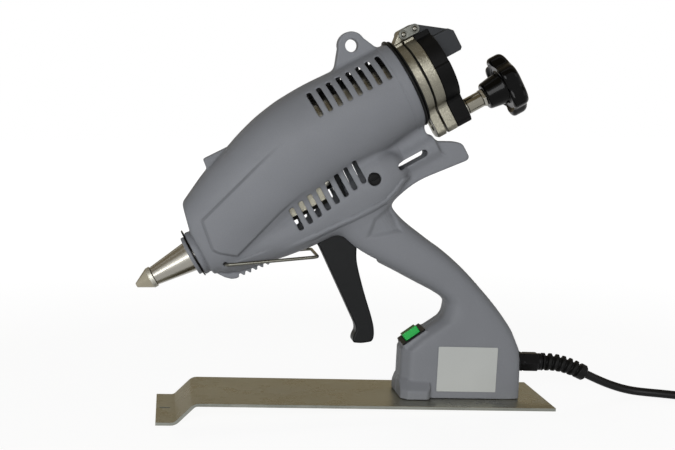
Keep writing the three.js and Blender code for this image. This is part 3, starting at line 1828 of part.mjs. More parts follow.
function addCordCoil(leadLength) {
  const start = leadRoute[leadRoute.length - 1];
  const tailCurveLength = routeCurve(tailRoute).getLength();
  const woundLength = cordLength - leadLength - tailCurveLength;
  const middleRadius = woundLength / (coilTurns * 2 * Math.PI);
  const coil = coilFrom(start, middleRadius);
  const gap = leastGap(coil.points, cordRadius, coilStepsPerTurn / 2);
  console.log("cord_coil: least gap to itself " + gap.toFixed(2) + " mm");

  const first = coil.points[0];
  const last = coil.points[coil.points.length - 1];
  const leadIn = first.clone().sub(coil.points[1]).setLength(cordRadius);
  const leadOut = last.clone().sub(coil.points[coil.points.length - 2]).setLength(cordRadius);
  first.addScaledVector(leadIn, -seatGap / cordRadius);
  const path = [...coil.points, last.clone().add(leadOut), last.clone().addScaledVector(leadOut, 2)];
  const rings = path.map((point, i) => {
    const before = path[Math.max(0, i - 1)];
    const after = path[Math.min(path.length - 1, i + 1)];
    const tangent = after.clone().sub(before).normalize();
    const side = new THREE.Vector3(0, 0, 1).cross(tangent).normalize();
    const up = tangent.clone().cross(side);
    return Array.from({ length: coilSides }, (_, k) => {
      const angle = ((k + 1 / 2) / coilSides) * 2 * Math.PI;
      return point
        .clone()
        .addScaledVector(side, cordRadius * Math.cos(angle))
        .addScaledVector(up, cordRadius * Math.sin(angle))
        .toArray();
    });
  });
  add(ground, "cord_coil", loft(rings), rubberBlack());
  addCordTie(coil);
  return { end: path[path.length - 1], heading: leadOut.normalize() };
}

// Tie round all turns at one place of the coil
function addCordTie({ centre, inner, outer, points }) {
  const clear = cordRadius + seatGap;
  const low = points[0].z - clear;
  const high = points[0].z + coilLayerRise + clear;
  const near = inner - clear - coilDip;
  const far = outer + clear;
  const t = tieThickness;
  const half = tieWidth / 2;
  const band = without(
    solidOf(block(near - t, far + t, -half, half, low - t, high + t)),
    block(near, far, -half - overrun, half + overrun, low, high),
  );
  const mesh = add(ground, "cord_tie", band, rubberBlack(), centre.x, centre.y, 0);
  mesh.rotation.z = tieAngle;
}

// Tail of the cord from the coil to the plug, and the plug lying beside the coil
function addPlug({ end, heading }) {
  const turn = Math.atan2(heading.y, heading.x);
  const place = (along, across, rise) =>
    new THREE.Vector3(along, across, rise)
      .applyAxisAngle(new THREE.Vector3(0, 0, 1), turn)
      .add(end);
  const points = [[seatGap, 0, 0], ...tailRoute].map((p) => place(...p));
  const tail = new THREE.CatmullRomCurve3(points, false, "centripetal");
  const steps = Math.round(tail.getLength() / cordStep) * 2;
  add(ground, "cord_tail", tube(tail, cordRadius, steps, cordSides), rubberBlack());

  const plug = new THREE.Group();
  const direction = tail.getTangentAt(1);
  plug.position.copy(tail.getPointAt(1)).addScaledVector(direction, seatGap);
  plug.rotation.z = Math.atan2(direction.y, direction.x);
  ground.add(plug);
  const bodyEnd = plugNeckLength + plugLength;
  const body = turned([
    [0, 0],
    [0, plugNeckRadius - overrun],
    [plugNeckLength, plugNeckRadius],
    [plugNeckLength + plugNeckRadius, plugRadius],
    [bodyEnd - overrun, plugRadius],
    [bodyEnd, plugRadius - overrun],
    [bodyEnd, 0],
  ]);
  const sockets = [-1, 1].map((side) =>
    rod(bodyEnd - plugPinSeat - seatGap, bodyEnd + overrun, plugPinRadius + seatGap).translate(
      0,
      (side * plugPinSpacing) / 2,
      0,
    ),
  );
  add(plug, "mains_plug", without(solidOf(body), ...sockets), rubberBlack());
  [-1, 1].forEach((side, i) => {
    const pin = rod(bodyEnd - plugPinSeat, bodyEnd + plugPinLength, plugPinRadius);
    const name = "plug_pin_" + (i + 1);
    add(plug, name, pin, brassYellow(), 0, (side * plugPinSpacing) / 2, 0);
  });
}

addStandPlate();
addStandScrews();
addHousing();
addNozzle();
addPump();
addPiston();
addTank();
addTankSeal();
addLid();
addHinge();
addClamp();
addTrigger();
addTriggerSpring();
addAdjuster();
addBail();
addSwitch();
addLabel();
addElectrics();
addHousingScrews();
addGland();
addPlug(addCordCoil(addCordLead()));

export default part;
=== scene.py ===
import math

import bmesh
import bpy
import numpy as np
from mathutils import Matrix, Vector


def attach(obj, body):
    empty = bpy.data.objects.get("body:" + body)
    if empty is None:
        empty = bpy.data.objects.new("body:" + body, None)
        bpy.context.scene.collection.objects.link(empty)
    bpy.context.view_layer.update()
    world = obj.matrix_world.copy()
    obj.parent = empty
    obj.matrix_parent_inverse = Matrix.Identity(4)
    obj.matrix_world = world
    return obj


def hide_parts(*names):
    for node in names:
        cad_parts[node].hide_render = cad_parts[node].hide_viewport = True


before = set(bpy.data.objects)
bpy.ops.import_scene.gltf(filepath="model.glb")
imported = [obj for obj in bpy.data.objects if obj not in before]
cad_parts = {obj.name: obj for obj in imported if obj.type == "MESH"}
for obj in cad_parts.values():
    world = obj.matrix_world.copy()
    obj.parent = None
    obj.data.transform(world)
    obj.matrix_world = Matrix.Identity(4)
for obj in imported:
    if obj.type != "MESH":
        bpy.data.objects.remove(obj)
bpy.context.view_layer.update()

MM = 0.001

# Sizes that several pieces share, in mm
PLATE_LENGTH, PLATE_HALF, SHEET = 360, 50, 3
FOOT_LENGTH, FOOT_DROP, FOOT_RUN = 16, 17.2, 17
BASE_REACH = 142  # from the plate's rear edge to the front of the base
NOZZLE_REACH, NOZZLE_HEIGHT = 381, 94.5  # of the tip, from the plate's rear edge and over the plate
TIP_FLAT = 2  # radius of the tip's end
FRONT_FACE, BARREL_LENGTH = 65.5, 232.5  # from the tip to the housing, and from there to its rear rim
CROWN = 87.7  # highest line of the housing over the nozzle's axis
TANK_V = 45.6  # tank's axis over the nozzle's axis
PUMP_HALF = 46  # size that the pump lobe's shares refer to
WALL = 2.8  # of the housing
GAP = 0.3  # between a piece and what carries it
PIVOT_U, PIVOT_V = 200, -30  # trigger's pivot in the barrel's frame
TRIGGER_HALF, PIN_BORE = 9, 2.8  # trigger's half width, and the bore for its pin
BAIL_U, BAIL_V = 79.3, -18.4  # bail's pivot
DIAL_U, DIAL_V = 232, -15  # middle of the adjuster
SPINDLE_BORE = 4.9  # radius of the holes that the clamp spindle passes
SWITCH_SLOPE = math.radians(36.5)  # of the handle's face that carries the switch
SWITCH_X, SWITCH_Z = -127, 55  # middle of the switch in the stand's frame
GLAND_Z = 32  # cord's height over the plate where it leaves

# Frames: the stand's, the barrel's tilted in it, and the ground's
BEND_SHIFT = SHEET * math.tan(math.atan(FOOT_DROP / FOOT_RUN) / 2)
STAND_TILT = math.atan(FOOT_DROP / (PLATE_LENGTH - FOOT_LENGTH - BEND_SHIFT))
BARREL_TILT = math.radians(30.7)
TOP_LEAN = SWITCH_SLOPE - STAND_TILT
ORIGIN_X = (
    -NOZZLE_REACH * math.cos(STAND_TILT)
    + NOZZLE_HEIGHT * math.sin(STAND_TILT)
    - TIP_FLAT * math.sin(BARREL_TILT - STAND_TILT)
) / 2


def turn_y(angle, x, z):
    """Turn about Y, then a move to x and z."""
    c, s = math.cos(angle), math.sin(angle)
    return np.array([[c, 0, s, x], [0, 1, 0, 0], [-s, 0, c, z], [0, 0, 0, 1.0]])


STAND = turn_y(STAND_TILT, -ORIGIN_X, SHEET * math.cos(STAND_TILT))
TO_STAND = turn_y(-BARREL_TILT, -NOZZLE_REACH, NOZZLE_HEIGHT)
BARREL = STAND @ TO_STAND
GROUND = turn_y(0, -ORIGIN_X, 0)


def turn_z(angle, x, y, z):
    """Turn about Z, then a move."""
    c, s = math.cos(angle), math.sin(angle)
    return np.array([[c, -s, 0, x], [s, c, 0, y], [0, 0, 1, z], [0, 0, 0, 1.0]])


def placed(points, place):
    """Points of a frame in mm, as metres in the part's frame."""
    p = np.asarray(points, float).reshape(-1, 3)
    return (p @ place[:3, :3].T + place[:3, 3]) * MM


def at_height(v):
    """The barrel's frame moved up to an axis at height v."""
    m = BARREL.copy()
    m[:3, 3] += BARREL[:3, 2] * v
    return m


# Camera
camera = bpy.data.objects.new("camera", bpy.data.cameras.new("camera"))
camera.data.lens = 64.0
camera.data.sensor_width = 36
camera.data.clip_start = 0.01
camera.location = (-0.1543, -1.0788, 0.2900)
camera.rotation_euler = (math.radians(90 - 6.38), 0, math.radians(-7.86))
bpy.context.collection.objects.link(camera)
bpy.context.scene.camera = camera
bpy.context.scene.view_settings.view_transform = "Standard"


class Paint:
    """A node material: helpers return sockets, and the shader's constants are set on its own sockets."""

    def __init__(self, name, **shader):
        self.m = bpy.data.materials.new(name)
        self.m.use_nodes = True
        self.t = self.m.node_tree
        self.t.nodes.clear()
        self.out = self.t.nodes.new("ShaderNodeOutputMaterial")
        self.b = self.t.nodes.new("ShaderNodeBsdfPrincipled")
        self.t.links.new(self.b.outputs[0], self.out.inputs["Surface"])
        for key, value in shader.items():
            self.b.inputs[key.replace("_", " ")].default_value = value
        self.coord = self.t.nodes.new("ShaderNodeTexCoord").outputs["Object"]
        self.normal = None

    def node(self, kind, **values):
        n = self.t.nodes.new("ShaderNode" + kind)
        for key, value in values.items():
            if key in n.inputs:
                n.inputs[key].default_value = value
            else:
                setattr(n, key, value)
        return n

    def link(self, a, b):
        self.t.links.new(a, b)

    def stretched(self, scale, rotation=(0, 0, 0)):
        n = self.node("Mapping")
        n.inputs["Scale"].default_value = scale
        n.inputs["Rotation"].default_value = rotation
        self.link(self.coord, n.inputs["Vector"])
        return n.outputs[0]

    def noise(self, scale, detail=3, rough=0.5, vector=None):
        n = self.node("TexNoise", Scale=scale, Detail=detail, Roughness=rough)
        self.link(vector or self.coord, n.inputs["Vector"])
        return n.outputs["Fac"]

    def cells(self, scale):
        n = self.node("TexVoronoi", Scale=scale)
        self.link(self.coord, n.inputs["Vector"])
        return n.outputs["Distance"]

    def range(self, fac, low, high, a, b):
        n = self.node("MapRange", clamp=True)
        for key, value in zip(("From Min", "From Max", "To Min", "To Max"), (low, high, a, b)):
            n.inputs[key].default_value = value
        self.link(fac, n.inputs["Value"])
        return n.outputs["Result"]

    def math(self, op, a, b):
        n = self.node("Math", operation=op)
        for i, x in enumerate((a, b)):
            if isinstance(x, (int, float)):
                n.inputs[i].default_value = x
            else:
                self.link(x, n.inputs[i])
        return n.outputs[0]

    def mix(self, fac, a, b, blend="MIX"):
        n = self.node("Mix", data_type="RGBA", blend_type=blend)
        for i, x in ((0, fac), (6, a), (7, b)):
            if isinstance(x, (int, float)):
                n.inputs[i].default_value = x
            elif isinstance(x, tuple):
                n.inputs[i].default_value = (*x, 1) if len(x) == 3 else x
            else:
                self.link(x, n.inputs[i])
        return n.outputs[2]

    def pointy(self, low, high):
        """From 0 to 1 as the edge sharpens from low to high; below 0.5 it is a crease."""
        n = self.node("NewGeometry")
        return self.range(n.outputs["Pointiness"], low, high, 0, 1)

    def facing(self, way, low, high):
        """1 where the surface faces the way given, in the object's own axes."""
        n = self.node("VectorMath", operation="DOT_PRODUCT")
        self.link(self.t.nodes.new("ShaderNodeTexCoord").outputs["Normal"], n.inputs[0])
        n.inputs[1].default_value = way
        return self.range(n.outputs["Value"], low, high, 0, 1)

    def bump(self, height, strength, distance):
        n = self.node("Bump")
        n.inputs["Strength"].default_value = strength
        n.inputs["Distance"].default_value = distance
        self.link(height, n.inputs["Height"])
        if self.normal is not None:
            self.link(self.normal, n.inputs["Normal"])
        self.normal = n.outputs[0]

    def done(self, color=None, rough=None):
        if color is not None:
            self.link(color, self.b.inputs["Base Color"])
        if rough is not None:
            self.link(rough, self.b.inputs["Roughness"])
        if self.normal is not None:
            self.link(self.normal, self.b.inputs["Normal"])
        return self.m


def shade(c, k):
    return tuple(min(1, x * k) for x in c)


def rgb(hexcode):
    values = [int(hexcode[i : i + 2], 16) / 255 for i in (0, 2, 4)]
    return tuple(x / 12.92 if x <= 0.04045 else ((x + 0.055) / 1.055) ** 2.4 for x in values)


def moulded(name, color, rough, grain, wear, spec=0.5, speckled=True, top=None, crease_shade=0.0):
    """Moulded plastic: fine spark grain, faint flow marks, rubbed edges, a few specks, painted shade in
    creases, and a top painted darker as shade.
    """
    p = Paint(name, Metallic=0.0)
    p.b.inputs["Specular IOR Level"].default_value = spec
    broad = p.noise(14, 2, 0.5)
    fine = p.noise(2600, 2, 0.6)
    c = p.mix(p.range(broad, 0.3, 0.7, 0, 1), shade(color, 0.95), shade(color, 1.05))
    c = p.mix(p.range(fine, 0.35, 0.65, 0, 1), c, p.mix(1.0, c, (0.9, 0.9, 0.9), "MULTIPLY"))
    if speckled:
        c = p.mix(p.range(p.cells(900), 0.03, 0.09, 0.25, 0), c, shade(color, 0.55))
    if wear:
        c = p.mix(p.math("MULTIPLY", p.pointy(0.52, 0.6), wear), c, shade(color, 1.7))
    # Painted shade: creases, where pointiness is low, turn darker in place of the shade that falls in them.
    if crease_shade:
        c = p.mix(p.math("MULTIPLY", p.pointy(0.49, 0.44), crease_shade), c, shade(color, 0.4))
    # Painted shade: faces turned up from the switch slope get the darker top colour, as if less light fell on
    # them.
    if top is not None:
        c = p.mix(p.facing((-math.sin(TOP_LEAN), 0, math.cos(TOP_LEAN)), 0.6, 0.75), c, top)
    scuff = p.noise(60, 5, 0.65, p.stretched((1, 1, 5), (0.3, 0.2, 0)))
    scuffed = p.range(scuff, 0.35, 0.75, rough - 0.06, rough + 0.08)
    r = p.math("ADD", scuffed, p.range(fine, 0.3, 0.7, -0.04, 0.05))
    if grain:
        p.bump(fine, grain, 0.00006)
        p.bump(scuff, 0.05, 0.0004)
    return p.done(c, r)


def metal(name, color, rough, brushed=None, grain=0.0, aniso=0.0, marks=0.2, side=None):
    """Metal: brushed lines along an axis or a cast grain, patches of tarnish, cut sides of another shade."""
    p = Paint(name, Metallic=1.0)
    if aniso:
        p.b.inputs["Anisotropic"].default_value = aniso
    broad = p.noise(22, 4, 0.6)
    c = p.mix(p.range(broad, 0.35, 0.7, 0, 1), shade(color, 0.9), shade(color, 1.08))
    r0 = p.range(p.noise(45, 5, 0.6), 0.3, 0.75, rough * (1 - marks), rough * (1 + marks) + 0.02)
    if brushed:
        lines = p.noise(900, 4, 0.7, p.stretched(*brushed))
        darker = p.mix(1.0, c, (0.86, 0.86, 0.86), "MULTIPLY")
        c = p.mix(p.range(lines, 0.3, 0.7, 0, 1), darker, c)
        r0 = p.math("ADD", r0, p.range(lines, 0.3, 0.7, -0.05, 0.08))
        p.bump(lines, 0.12, 0.00005)
    if grain:
        pits = p.noise(1100, 4, 0.75)
        cells = p.cells(620)
        c = p.mix(p.range(pits, 0.4, 0.7, 0, 0.5), c, shade(color, 0.65))
        c = p.mix(p.range(cells, 0.1, 0.35, 0.7, 0), c, shade(color, 1.5))
        r0 = p.math("ADD", r0, p.range(pits, 0.3, 0.7, -0.08, 0.1))
        p.bump(pits, grain, 0.0003)
        p.bump(cells, grain * 0.5, 0.0002)
    edge = p.pointy(0.52, 0.62)
    c = p.mix(p.math("MULTIPLY", edge, 0.35), c, shade(color, 1.35))
    if side:
        near = p.math("MAXIMUM", p.facing((0, -1, 0), 0.7, 0.9), p.facing((0, 1, 0), 0.7, 0.9))
        c = p.mix(near, c, p.mix(1.0, c, (side * 0.95, side, side * 1.12), "MULTIPLY"))
    return p.done(c, r0)


# Scale and turn of the brushed lines
SHAFT = ((30, 1, 1), (0, BARREL_TILT - STAND_TILT, 0))
ALONG = ((0.05, 1, 1), (0, 0, 0))
ALONG_PLATE = ((0.02, 1, 1), (0, 0, 0))

# The housing gets painted shade in its creases.
M_HOUSING = moulded("housing_grey", rgb("797b80"), 0.5, 0.3, 0.12, spec=0.14, crease_shade=0.6)
M_BLACK = moulded("moulded_black", rgb("0d0d0e"), 0.42, 0.3, 0.04, spec=0.1)
M_COVER = moulded("cover_black", rgb("0b0b0b"), 0.5, 0.4, 0.05, spec=0.07)
M_GLOSS = moulded("gloss_black", rgb("040404"), 0.14, 0.0, 0.0, spec=0.1, speckled=False)
M_TRIGGER = moulded("trigger_black", rgb("101112"), 0.5, 0.4, 0.05, spec=0.14)
M_RUBBER = moulded("rubber_black", rgb("0d0d0d"), 0.5, 0.3, 0.03, spec=0.12)
M_CORD = moulded("cord_rubber", rgb("111111"), 0.45, 0.2, 0.03, spec=0.14)
M_ARM = moulded("arm_grey", rgb("282a2d"), 0.42, 0.4, 0.35, spec=0.2)
M_LABEL = moulded("label_silver", rgb("b2b4b2"), 0.42, 0.08, 0.02, spec=0.3)
M_CERAMIC = moulded("ceramic", rgb("dcd8cd"), 0.6, 0.5, 0.02)
M_BOARD = moulded("board_green", rgb("2c5a3a"), 0.5, 0.3, 0.05)
# The rocker's top colour is painted shade on the faces that look up.
M_GREEN = moulded("switch_green", rgb("20a848"), 0.3, 0.04, 0.05, spec=0.12, top=rgb("33602f"))
M_STEEL = metal("turned_steel", rgb("8c8a82"), 0.16, ALONG, marks=0.3)
M_NOZZLE = metal("nozzle_steel", rgb("9b9890"), 0.25, marks=0.1)
M_CONE = metal("cone_steel", rgb("a09a88"), 0.34, SHAFT)
M_BAND = metal("band_steel", rgb("b6b4aa"), 0.5, SHAFT)
M_PLATE = metal("sheet_steel", rgb("9c9a8b"), 0.3, ALONG_PLATE, aniso=0.3, marks=0.3, side=0.68)
M_CAST = metal("cast_aluminium", rgb("827f73"), 0.38, grain=0.8, marks=0.25)
M_LINK = metal("link_aluminium", rgb("6c6d68"), 0.5, grain=0.25)
M_WIRE = metal("wire_steel", rgb("5f5e57"), 0.26, marks=0.3)
M_BRASS = metal("pin_brass", rgb("a98a48"), 0.25)
M_TANK = metal("tank_aluminium", rgb("807f79"), 0.28, ALONG, marks=0.3)
M_SPINDLE = metal("spindle_steel", rgb("7f7c72"), 0.14)
M_NUT = metal("nut_zinc", rgb("a3a199"), 0.3, grain=0.2)
M_SCREW = metal("screw_steel", rgb("55534e"), 0.3, grain=0.2)
M_HEATER = metal("heater_sheath", rgb("3a3732"), 0.4, grain=0.2)


def piece(name, verts, faces, place, material, node, body="gun", normals=None, sharp=38):
    """Piece from points in mm in the frame of its place, standing for a node of the frame."""
    mesh = bpy.data.meshes.new(name)
    mesh.from_pydata([tuple(p) for p in placed(verts, place)], [], faces)
    mesh.validate()
    return finished(name, mesh, place, material, node, body, normals, sharp)


def finished(name, mesh, place, material, node, body="gun", normals=None, sharp=38):
    """Object of a mesh with its material, shading, body and replaced node."""
    mesh.update()
    obj = bpy.data.objects.new(name, mesh)
    bpy.context.collection.objects.link(obj)
    mesh.materials.append(material)
    mesh.shade_smooth()
    if normals is not None:
        n = normals @ place[:3, :3].T
        mesh.normals_split_custom_set_from_vertices([tuple(v) for v in n])
    else:
        mesh.set_sharp_from_angle(angle=math.radians(sharp))
    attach(obj, body)
    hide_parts(node)
    return obj


def eased(points, radius, steps=4, closed=True):
    """Round the corners of a profile or outline."""
    pts = [np.array(p, float) for p in points]
    out = []
    n = len(pts)
    for i, p in enumerate(pts):
        r = radius[i] if isinstance(radius, (list, tuple)) else radius
        if not closed and i in (0, n - 1) or not r:
            out.append(p)
            continue
        a, b = pts[i - 1] - p, pts[(i + 1) % n] - p
        la, lb = np.linalg.norm(a), np.linalg.norm(b)
        if la < 1e-9 or lb < 1e-9:
            out.append(p)
            continue
        r = min(r, la * 0.49, lb * 0.49)
        a, b = p + a / la * r, p + b / lb * r
        for k in range(steps + 1):
            t = k / steps
            out.append((1 - t) ** 2 * a + 2 * t * (1 - t) * p + t * t * b)
    return out


def arc(cu, cv, r, start, end, count):
    """Points of an arc round a centre, from one angle to another in degrees."""
    return [(cu + r * math.cos(a), cv + r * math.sin(a)) for a in np.radians(np.linspace(start, end, count))]


def lathe(name, profile, v, material, radius, sides, node, place=None, body="gun", sharp=38):
    """Body turned round the barrel's line at height v, from (u, r) pairs of a closed profile."""
    prof = eased(profile, radius)
    n = len(prof)
    angles = np.arange(sides) / sides * 2 * np.pi
    verts = [
        (p[0], max(p[1], 0) * math.cos(a), max(p[1], 0) * math.sin(a)) for a in angles for p in prof
    ]
    faces = [
        (i * n + j, i * n + (j + 1) % n, (i + 1) % sides * n + (j + 1) % n, (i + 1) % sides * n + j)
        for i in range(sides)
        for j in range(n)
    ]
    place = at_height(v) if place is None else place
    bm = bmesh.new()
    vs = [bm.verts.new(tuple(p)) for p in placed(verts, place)]
    for f in faces:
        bm.faces.new([vs[i] for i in f])
    bmesh.ops.remove_doubles(bm, verts=bm.verts, dist=1e-6)
    bmesh.ops.dissolve_degenerate(bm, edges=bm.edges, dist=1e-7)
    bmesh.ops.recalc_face_normals(bm, faces=bm.faces)
    mesh = bpy.data.meshes.new(name)
    bm.to_mesh(mesh)
    bm.free()
    return finished(name, mesh, place, material, node, body, sharp=sharp)


# Fields: distances in mm over a lattice, negative inside


def axes(lo, hi, h):
    """Lattice coordinates from corner to corner, shaped to spread over each other."""
    a = [np.arange(l, t + h, h, dtype=np.float32) for l, t in zip(lo, hi)]
    return a[0][:, None, None], a[1][None, :, None], a[2][None, None, :]


def over(x, z):
    """Two axes spread over their common plane."""
    return x + 0 * z, z + 0 * x


def span(x, low, high):
    """Slab from low to high."""
    return np.maximum(low - x, x - high)


def smin(a, b, k):
    """Both forms, with a fillet of size k between them."""
    h = np.maximum(k - np.abs(a - b), 0) / k
    return np.minimum(a, b) - h * h * (k / 4)


def smax(a, b, k):
    """What two forms share, the edge rounded by k."""
    return -smin(-a, -b, k)


def less(a, b, k=0.0):
    """The first form without the second, the new edge rounded by k."""
    return smax(a, -b, k) if k else np.maximum(a, -b)


def polygon(x, z, pts):
    """Signed distance to an outline, negative inside."""
    best = None
    inside = None
    n = len(pts)
    for i in range(n):
        (ax, az), (bx, bz) = pts[i], pts[(i + 1) % n]
        ex, ez = bx - ax, bz - az
        wx, wz = x - ax, z - az
        t = np.clip((wx * ex + wz * ez) / (ex * ex + ez * ez + 1e-12), 0, 1)
        d = (wx - ex * t) ** 2 + (wz - ez * t) ** 2
        best = d if best is None else np.minimum(best, d)
        up = (az <= z) != (bz <= z)
        rise = ez if abs(ez) > 1e-12 else 1e-12
        cross = up & (x < ax + (z - az) / rise * ex)
        inside = cross if inside is None else inside ^ cross
    d = np.sqrt(best)
    return np.where(inside, -d, d).astype(np.float32)


def near_line(x, z, pts):
    """Distance to an open line and the share of the way along it."""
    best, share = None, None
    n = len(pts) - 1
    for i in range(n):
        (ax, az), (bx, bz) = pts[i], pts[i + 1]
        ex, ez = bx - ax, bz - az
        t = np.clip(((x - ax) * ex + (z - az) * ez) / (ex * ex + ez * ez), 0, 1)
        d = np.hypot(x - ax - ex * t, z - az - ez * t)
        s = (i + t) / n
        if best is None:
            best, share = d, s
        else:
            share = np.where(d < best, s, share)
            best = np.minimum(best, d)
    return best, share


def solid(flat, across, r):
    """Pushed outline with its edges rounded."""
    a, b = flat + r, across + r
    return np.minimum(np.maximum(a, b), 0) + np.hypot(np.maximum(a, 0), np.maximum(b, 0)) - r


def rounded_box(x, z, cx, cz, hx, hz, r):
    """Rectangle of half sizes hx and hz round a centre, its corners rounded by r."""
    a, b = np.abs(x - cx) - hx + r, np.abs(z - cz) - hz + r
    return np.minimum(np.maximum(a, b), 0) + np.hypot(np.maximum(a, 0), np.maximum(b, 0)) - r


def hexagon(y, z, r):
    """Six flats round an axis, with corners at r."""
    flats = [np.abs(y * math.cos(a) + z * math.sin(a)) for a in np.radians([30, 90, 150])]
    return np.maximum.reduce(flats) - r * math.cos(math.pi / 6)


def step(x, low, high):
    """Smooth rise from 0 at low to 1 at high."""
    t = np.clip((x - low) / (high - low), 0, 1)
    return t * t * (3 - 2 * t)


CORNERS = [(i, j, k) for i in (0, 1) for j in (0, 1) for k in (0, 1)]
EDGES = [
    (a, b) for a in CORNERS for b in CORNERS if a < b and sum(abs(p - q) for p, q in zip(a, b)) == 1
]


def skin(field, lo, h):
    """Surface nets: points, quads and normals of the zero level of a field sampled on a lattice."""
    s = field < 0
    nx, ny, nz = s.shape
    count = np.zeros((nx - 1, ny - 1, nz - 1), np.uint8)
    for i, j, k in CORNERS:
        count += s[i : nx - 1 + i, j : ny - 1 + j, k : nz - 1 + k]
    active = (count > 0) & (count < 8)
    ids = np.argwhere(active)
    index = np.full(active.shape, -1, np.int32)
    index[active] = np.arange(len(ids))
    total = np.zeros((len(ids), 3))
    hits = np.zeros(len(ids))
    values = {c: field[ids[:, 0] + c[0], ids[:, 1] + c[1], ids[:, 2] + c[2]] for c in CORNERS}
    for a, b in EDGES:
        fa, fb = values[a], values[b]
        m = (fa < 0) != (fb < 0)
        t = np.where(m, fa / np.where(m, fa - fb, 1), 0)[:, None]
        total += np.where(m[:, None], np.array(a) + t * (np.array(b) - np.array(a)), 0)
        hits += m
    local = total / hits[:, None]
    points = np.array(lo) + (ids + local) * h
    gx = [0, 0, 0]
    for c in CORNERS:
        w = 1
        for axis in range(3):
            w = w * (local[:, axis] if c[axis] else 1 - local[:, axis])
        for axis in range(3):
            i = np.clip(ids + np.array(c), 1, np.array(field.shape) - 2)
            d = np.zeros(3, int)
            d[axis] = 1
            p, q = i + d, i - d
            rise = field[p[:, 0], p[:, 1], p[:, 2]] - field[q[:, 0], q[:, 1], q[:, 2]]
            gx[axis] = gx[axis] + w * rise
    normals = np.stack(gx, 1)
    normals /= np.maximum(np.linalg.norm(normals, axis=1, keepdims=True), 1e-9)
    quads = []
    for axis in range(3):
        o1, o2 = [a for a in range(3) if a != axis]
        low = [slice(1, None)] * 3
        low[axis] = slice(0, -1)
        high = [slice(1, None)] * 3
        high[axis] = slice(1, None)
        A, B = s[tuple(low)], s[tuple(high)]
        cut = A != B
        e = np.argwhere(cut)
        flip = A[cut]
        e[:, o1] += 1
        e[:, o2] += 1
        ok = (e[:, o1] < index.shape[o1]) & (e[:, o2] < index.shape[o2])
        e, flip = e[ok], flip[ok]
        d1 = np.zeros(3, int)
        d1[o1] = 1
        d2 = np.zeros(3, int)
        d2[o2] = 1
        ring = [e - d1 - d2, e - d2, e, e - d1]
        q = np.stack([index[r[:, 0], r[:, 1], r[:, 2]] for r in ring], 1)
        good = (q >= 0).all(1)
        q, flip = q[good], flip[good]
        if axis == 1:
            flip = ~flip
        q[~flip] = q[~flip][:, ::-1]
        quads.append(q)
    return points, np.concatenate(quads), normals


def formed(name, field, lo, h, place, material, node, body="gun", mirror=False):
    """Piece from a field; its normals come from the field's slope."""
    points, quads, normals = skin(field, lo, h)
    if mirror:
        points[:, 1] *= -1
        normals[:, 1] *= -1
        quads = quads[:, ::-1]
    return piece(name, points, quads.tolist(), place, material, node, body, normals)


def sweep(points, radius, sides):
    """Round bar along points; radius is a number or a function of the point's index and angle."""
    pts = np.asarray(points, float)
    n = len(pts)
    tangent = np.gradient(pts, axis=0)
    tangent /= np.linalg.norm(tangent, axis=1, keepdims=True)
    side = np.cross(tangent[0], (0.013, 0.07, 1.0))
    side /= np.linalg.norm(side)
    verts = []
    for i in range(n):
        side = side - tangent[i] * (side @ tangent[i])
        side /= np.linalg.norm(side)
        up = np.cross(tangent[i], side)
        for k in range(sides):
            a = k / sides * 2 * math.pi
            r = radius(i, a) if callable(radius) else radius
            verts.append(pts[i] + side * (r * math.cos(a)) + up * (r * math.sin(a)))
    pairs = [(k, (k + 1) % sides) for k in range(sides)]
    faces = [
        (i * sides + k, i * sides + m, (i + 1) * sides + m, (i + 1) * sides + k)
        for i in range(n - 1)
        for k, m in pairs
    ]
    faces += [tuple(range(sides))[::-1], tuple((n - 1) * sides + k for k in range(sides))]
    return verts, faces


def length_of(points):
    return float(np.linalg.norm(np.diff(np.asarray(points, float), axis=0), axis=1).sum())


def evenly(points, count):
    """The same line with its points at even steps."""
    d = np.r_[0, np.cumsum(np.linalg.norm(np.diff(points, axis=0), axis=1))]
    even = np.linspace(0, d[-1], count)
    return np.stack([np.interp(even, d, points[:, k]) for k in range(3)], 1)


def between(s, low, high, a, b):
    """Value at s of a line that is a at low and b at high."""
    return (high - s) / (high - low) * a + (s - low) / (high - low) * b


def smooth_line(points, step_mm=1.5):
    """Centripetal curve through points, sampled evenly."""
    p = [np.array(q, float) for q in points]
    p = [2 * p[0] - p[1]] + p + [2 * p[-1] - p[-2]]
    out = []
    for i in range(1, len(p) - 2):
        t = [0.0]
        for k in range(3):
            t.append(t[-1] + max(1e-9, np.linalg.norm(p[i + k] - p[i + k - 1])) ** 0.5)
        count = max(2, int(np.linalg.norm(p[i + 1] - p[i]) / 0.4))
        for s in np.linspace(t[1], t[2], count, endpoint=False):
            a = [between(s, t[k], t[k + 1], p[i - 1 + k], p[i + k]) for k in range(3)]
            b = [between(s, t[k], t[k + 2], a[k], a[k + 1]) for k in range(2)]
            out.append(between(s, t[1], t[2], b[0], b[1]))
    out = np.array([*out, p[-2]])
    return evenly(out, max(3, int(length_of(out) / step_mm)))


# Cord, in the ground's mm

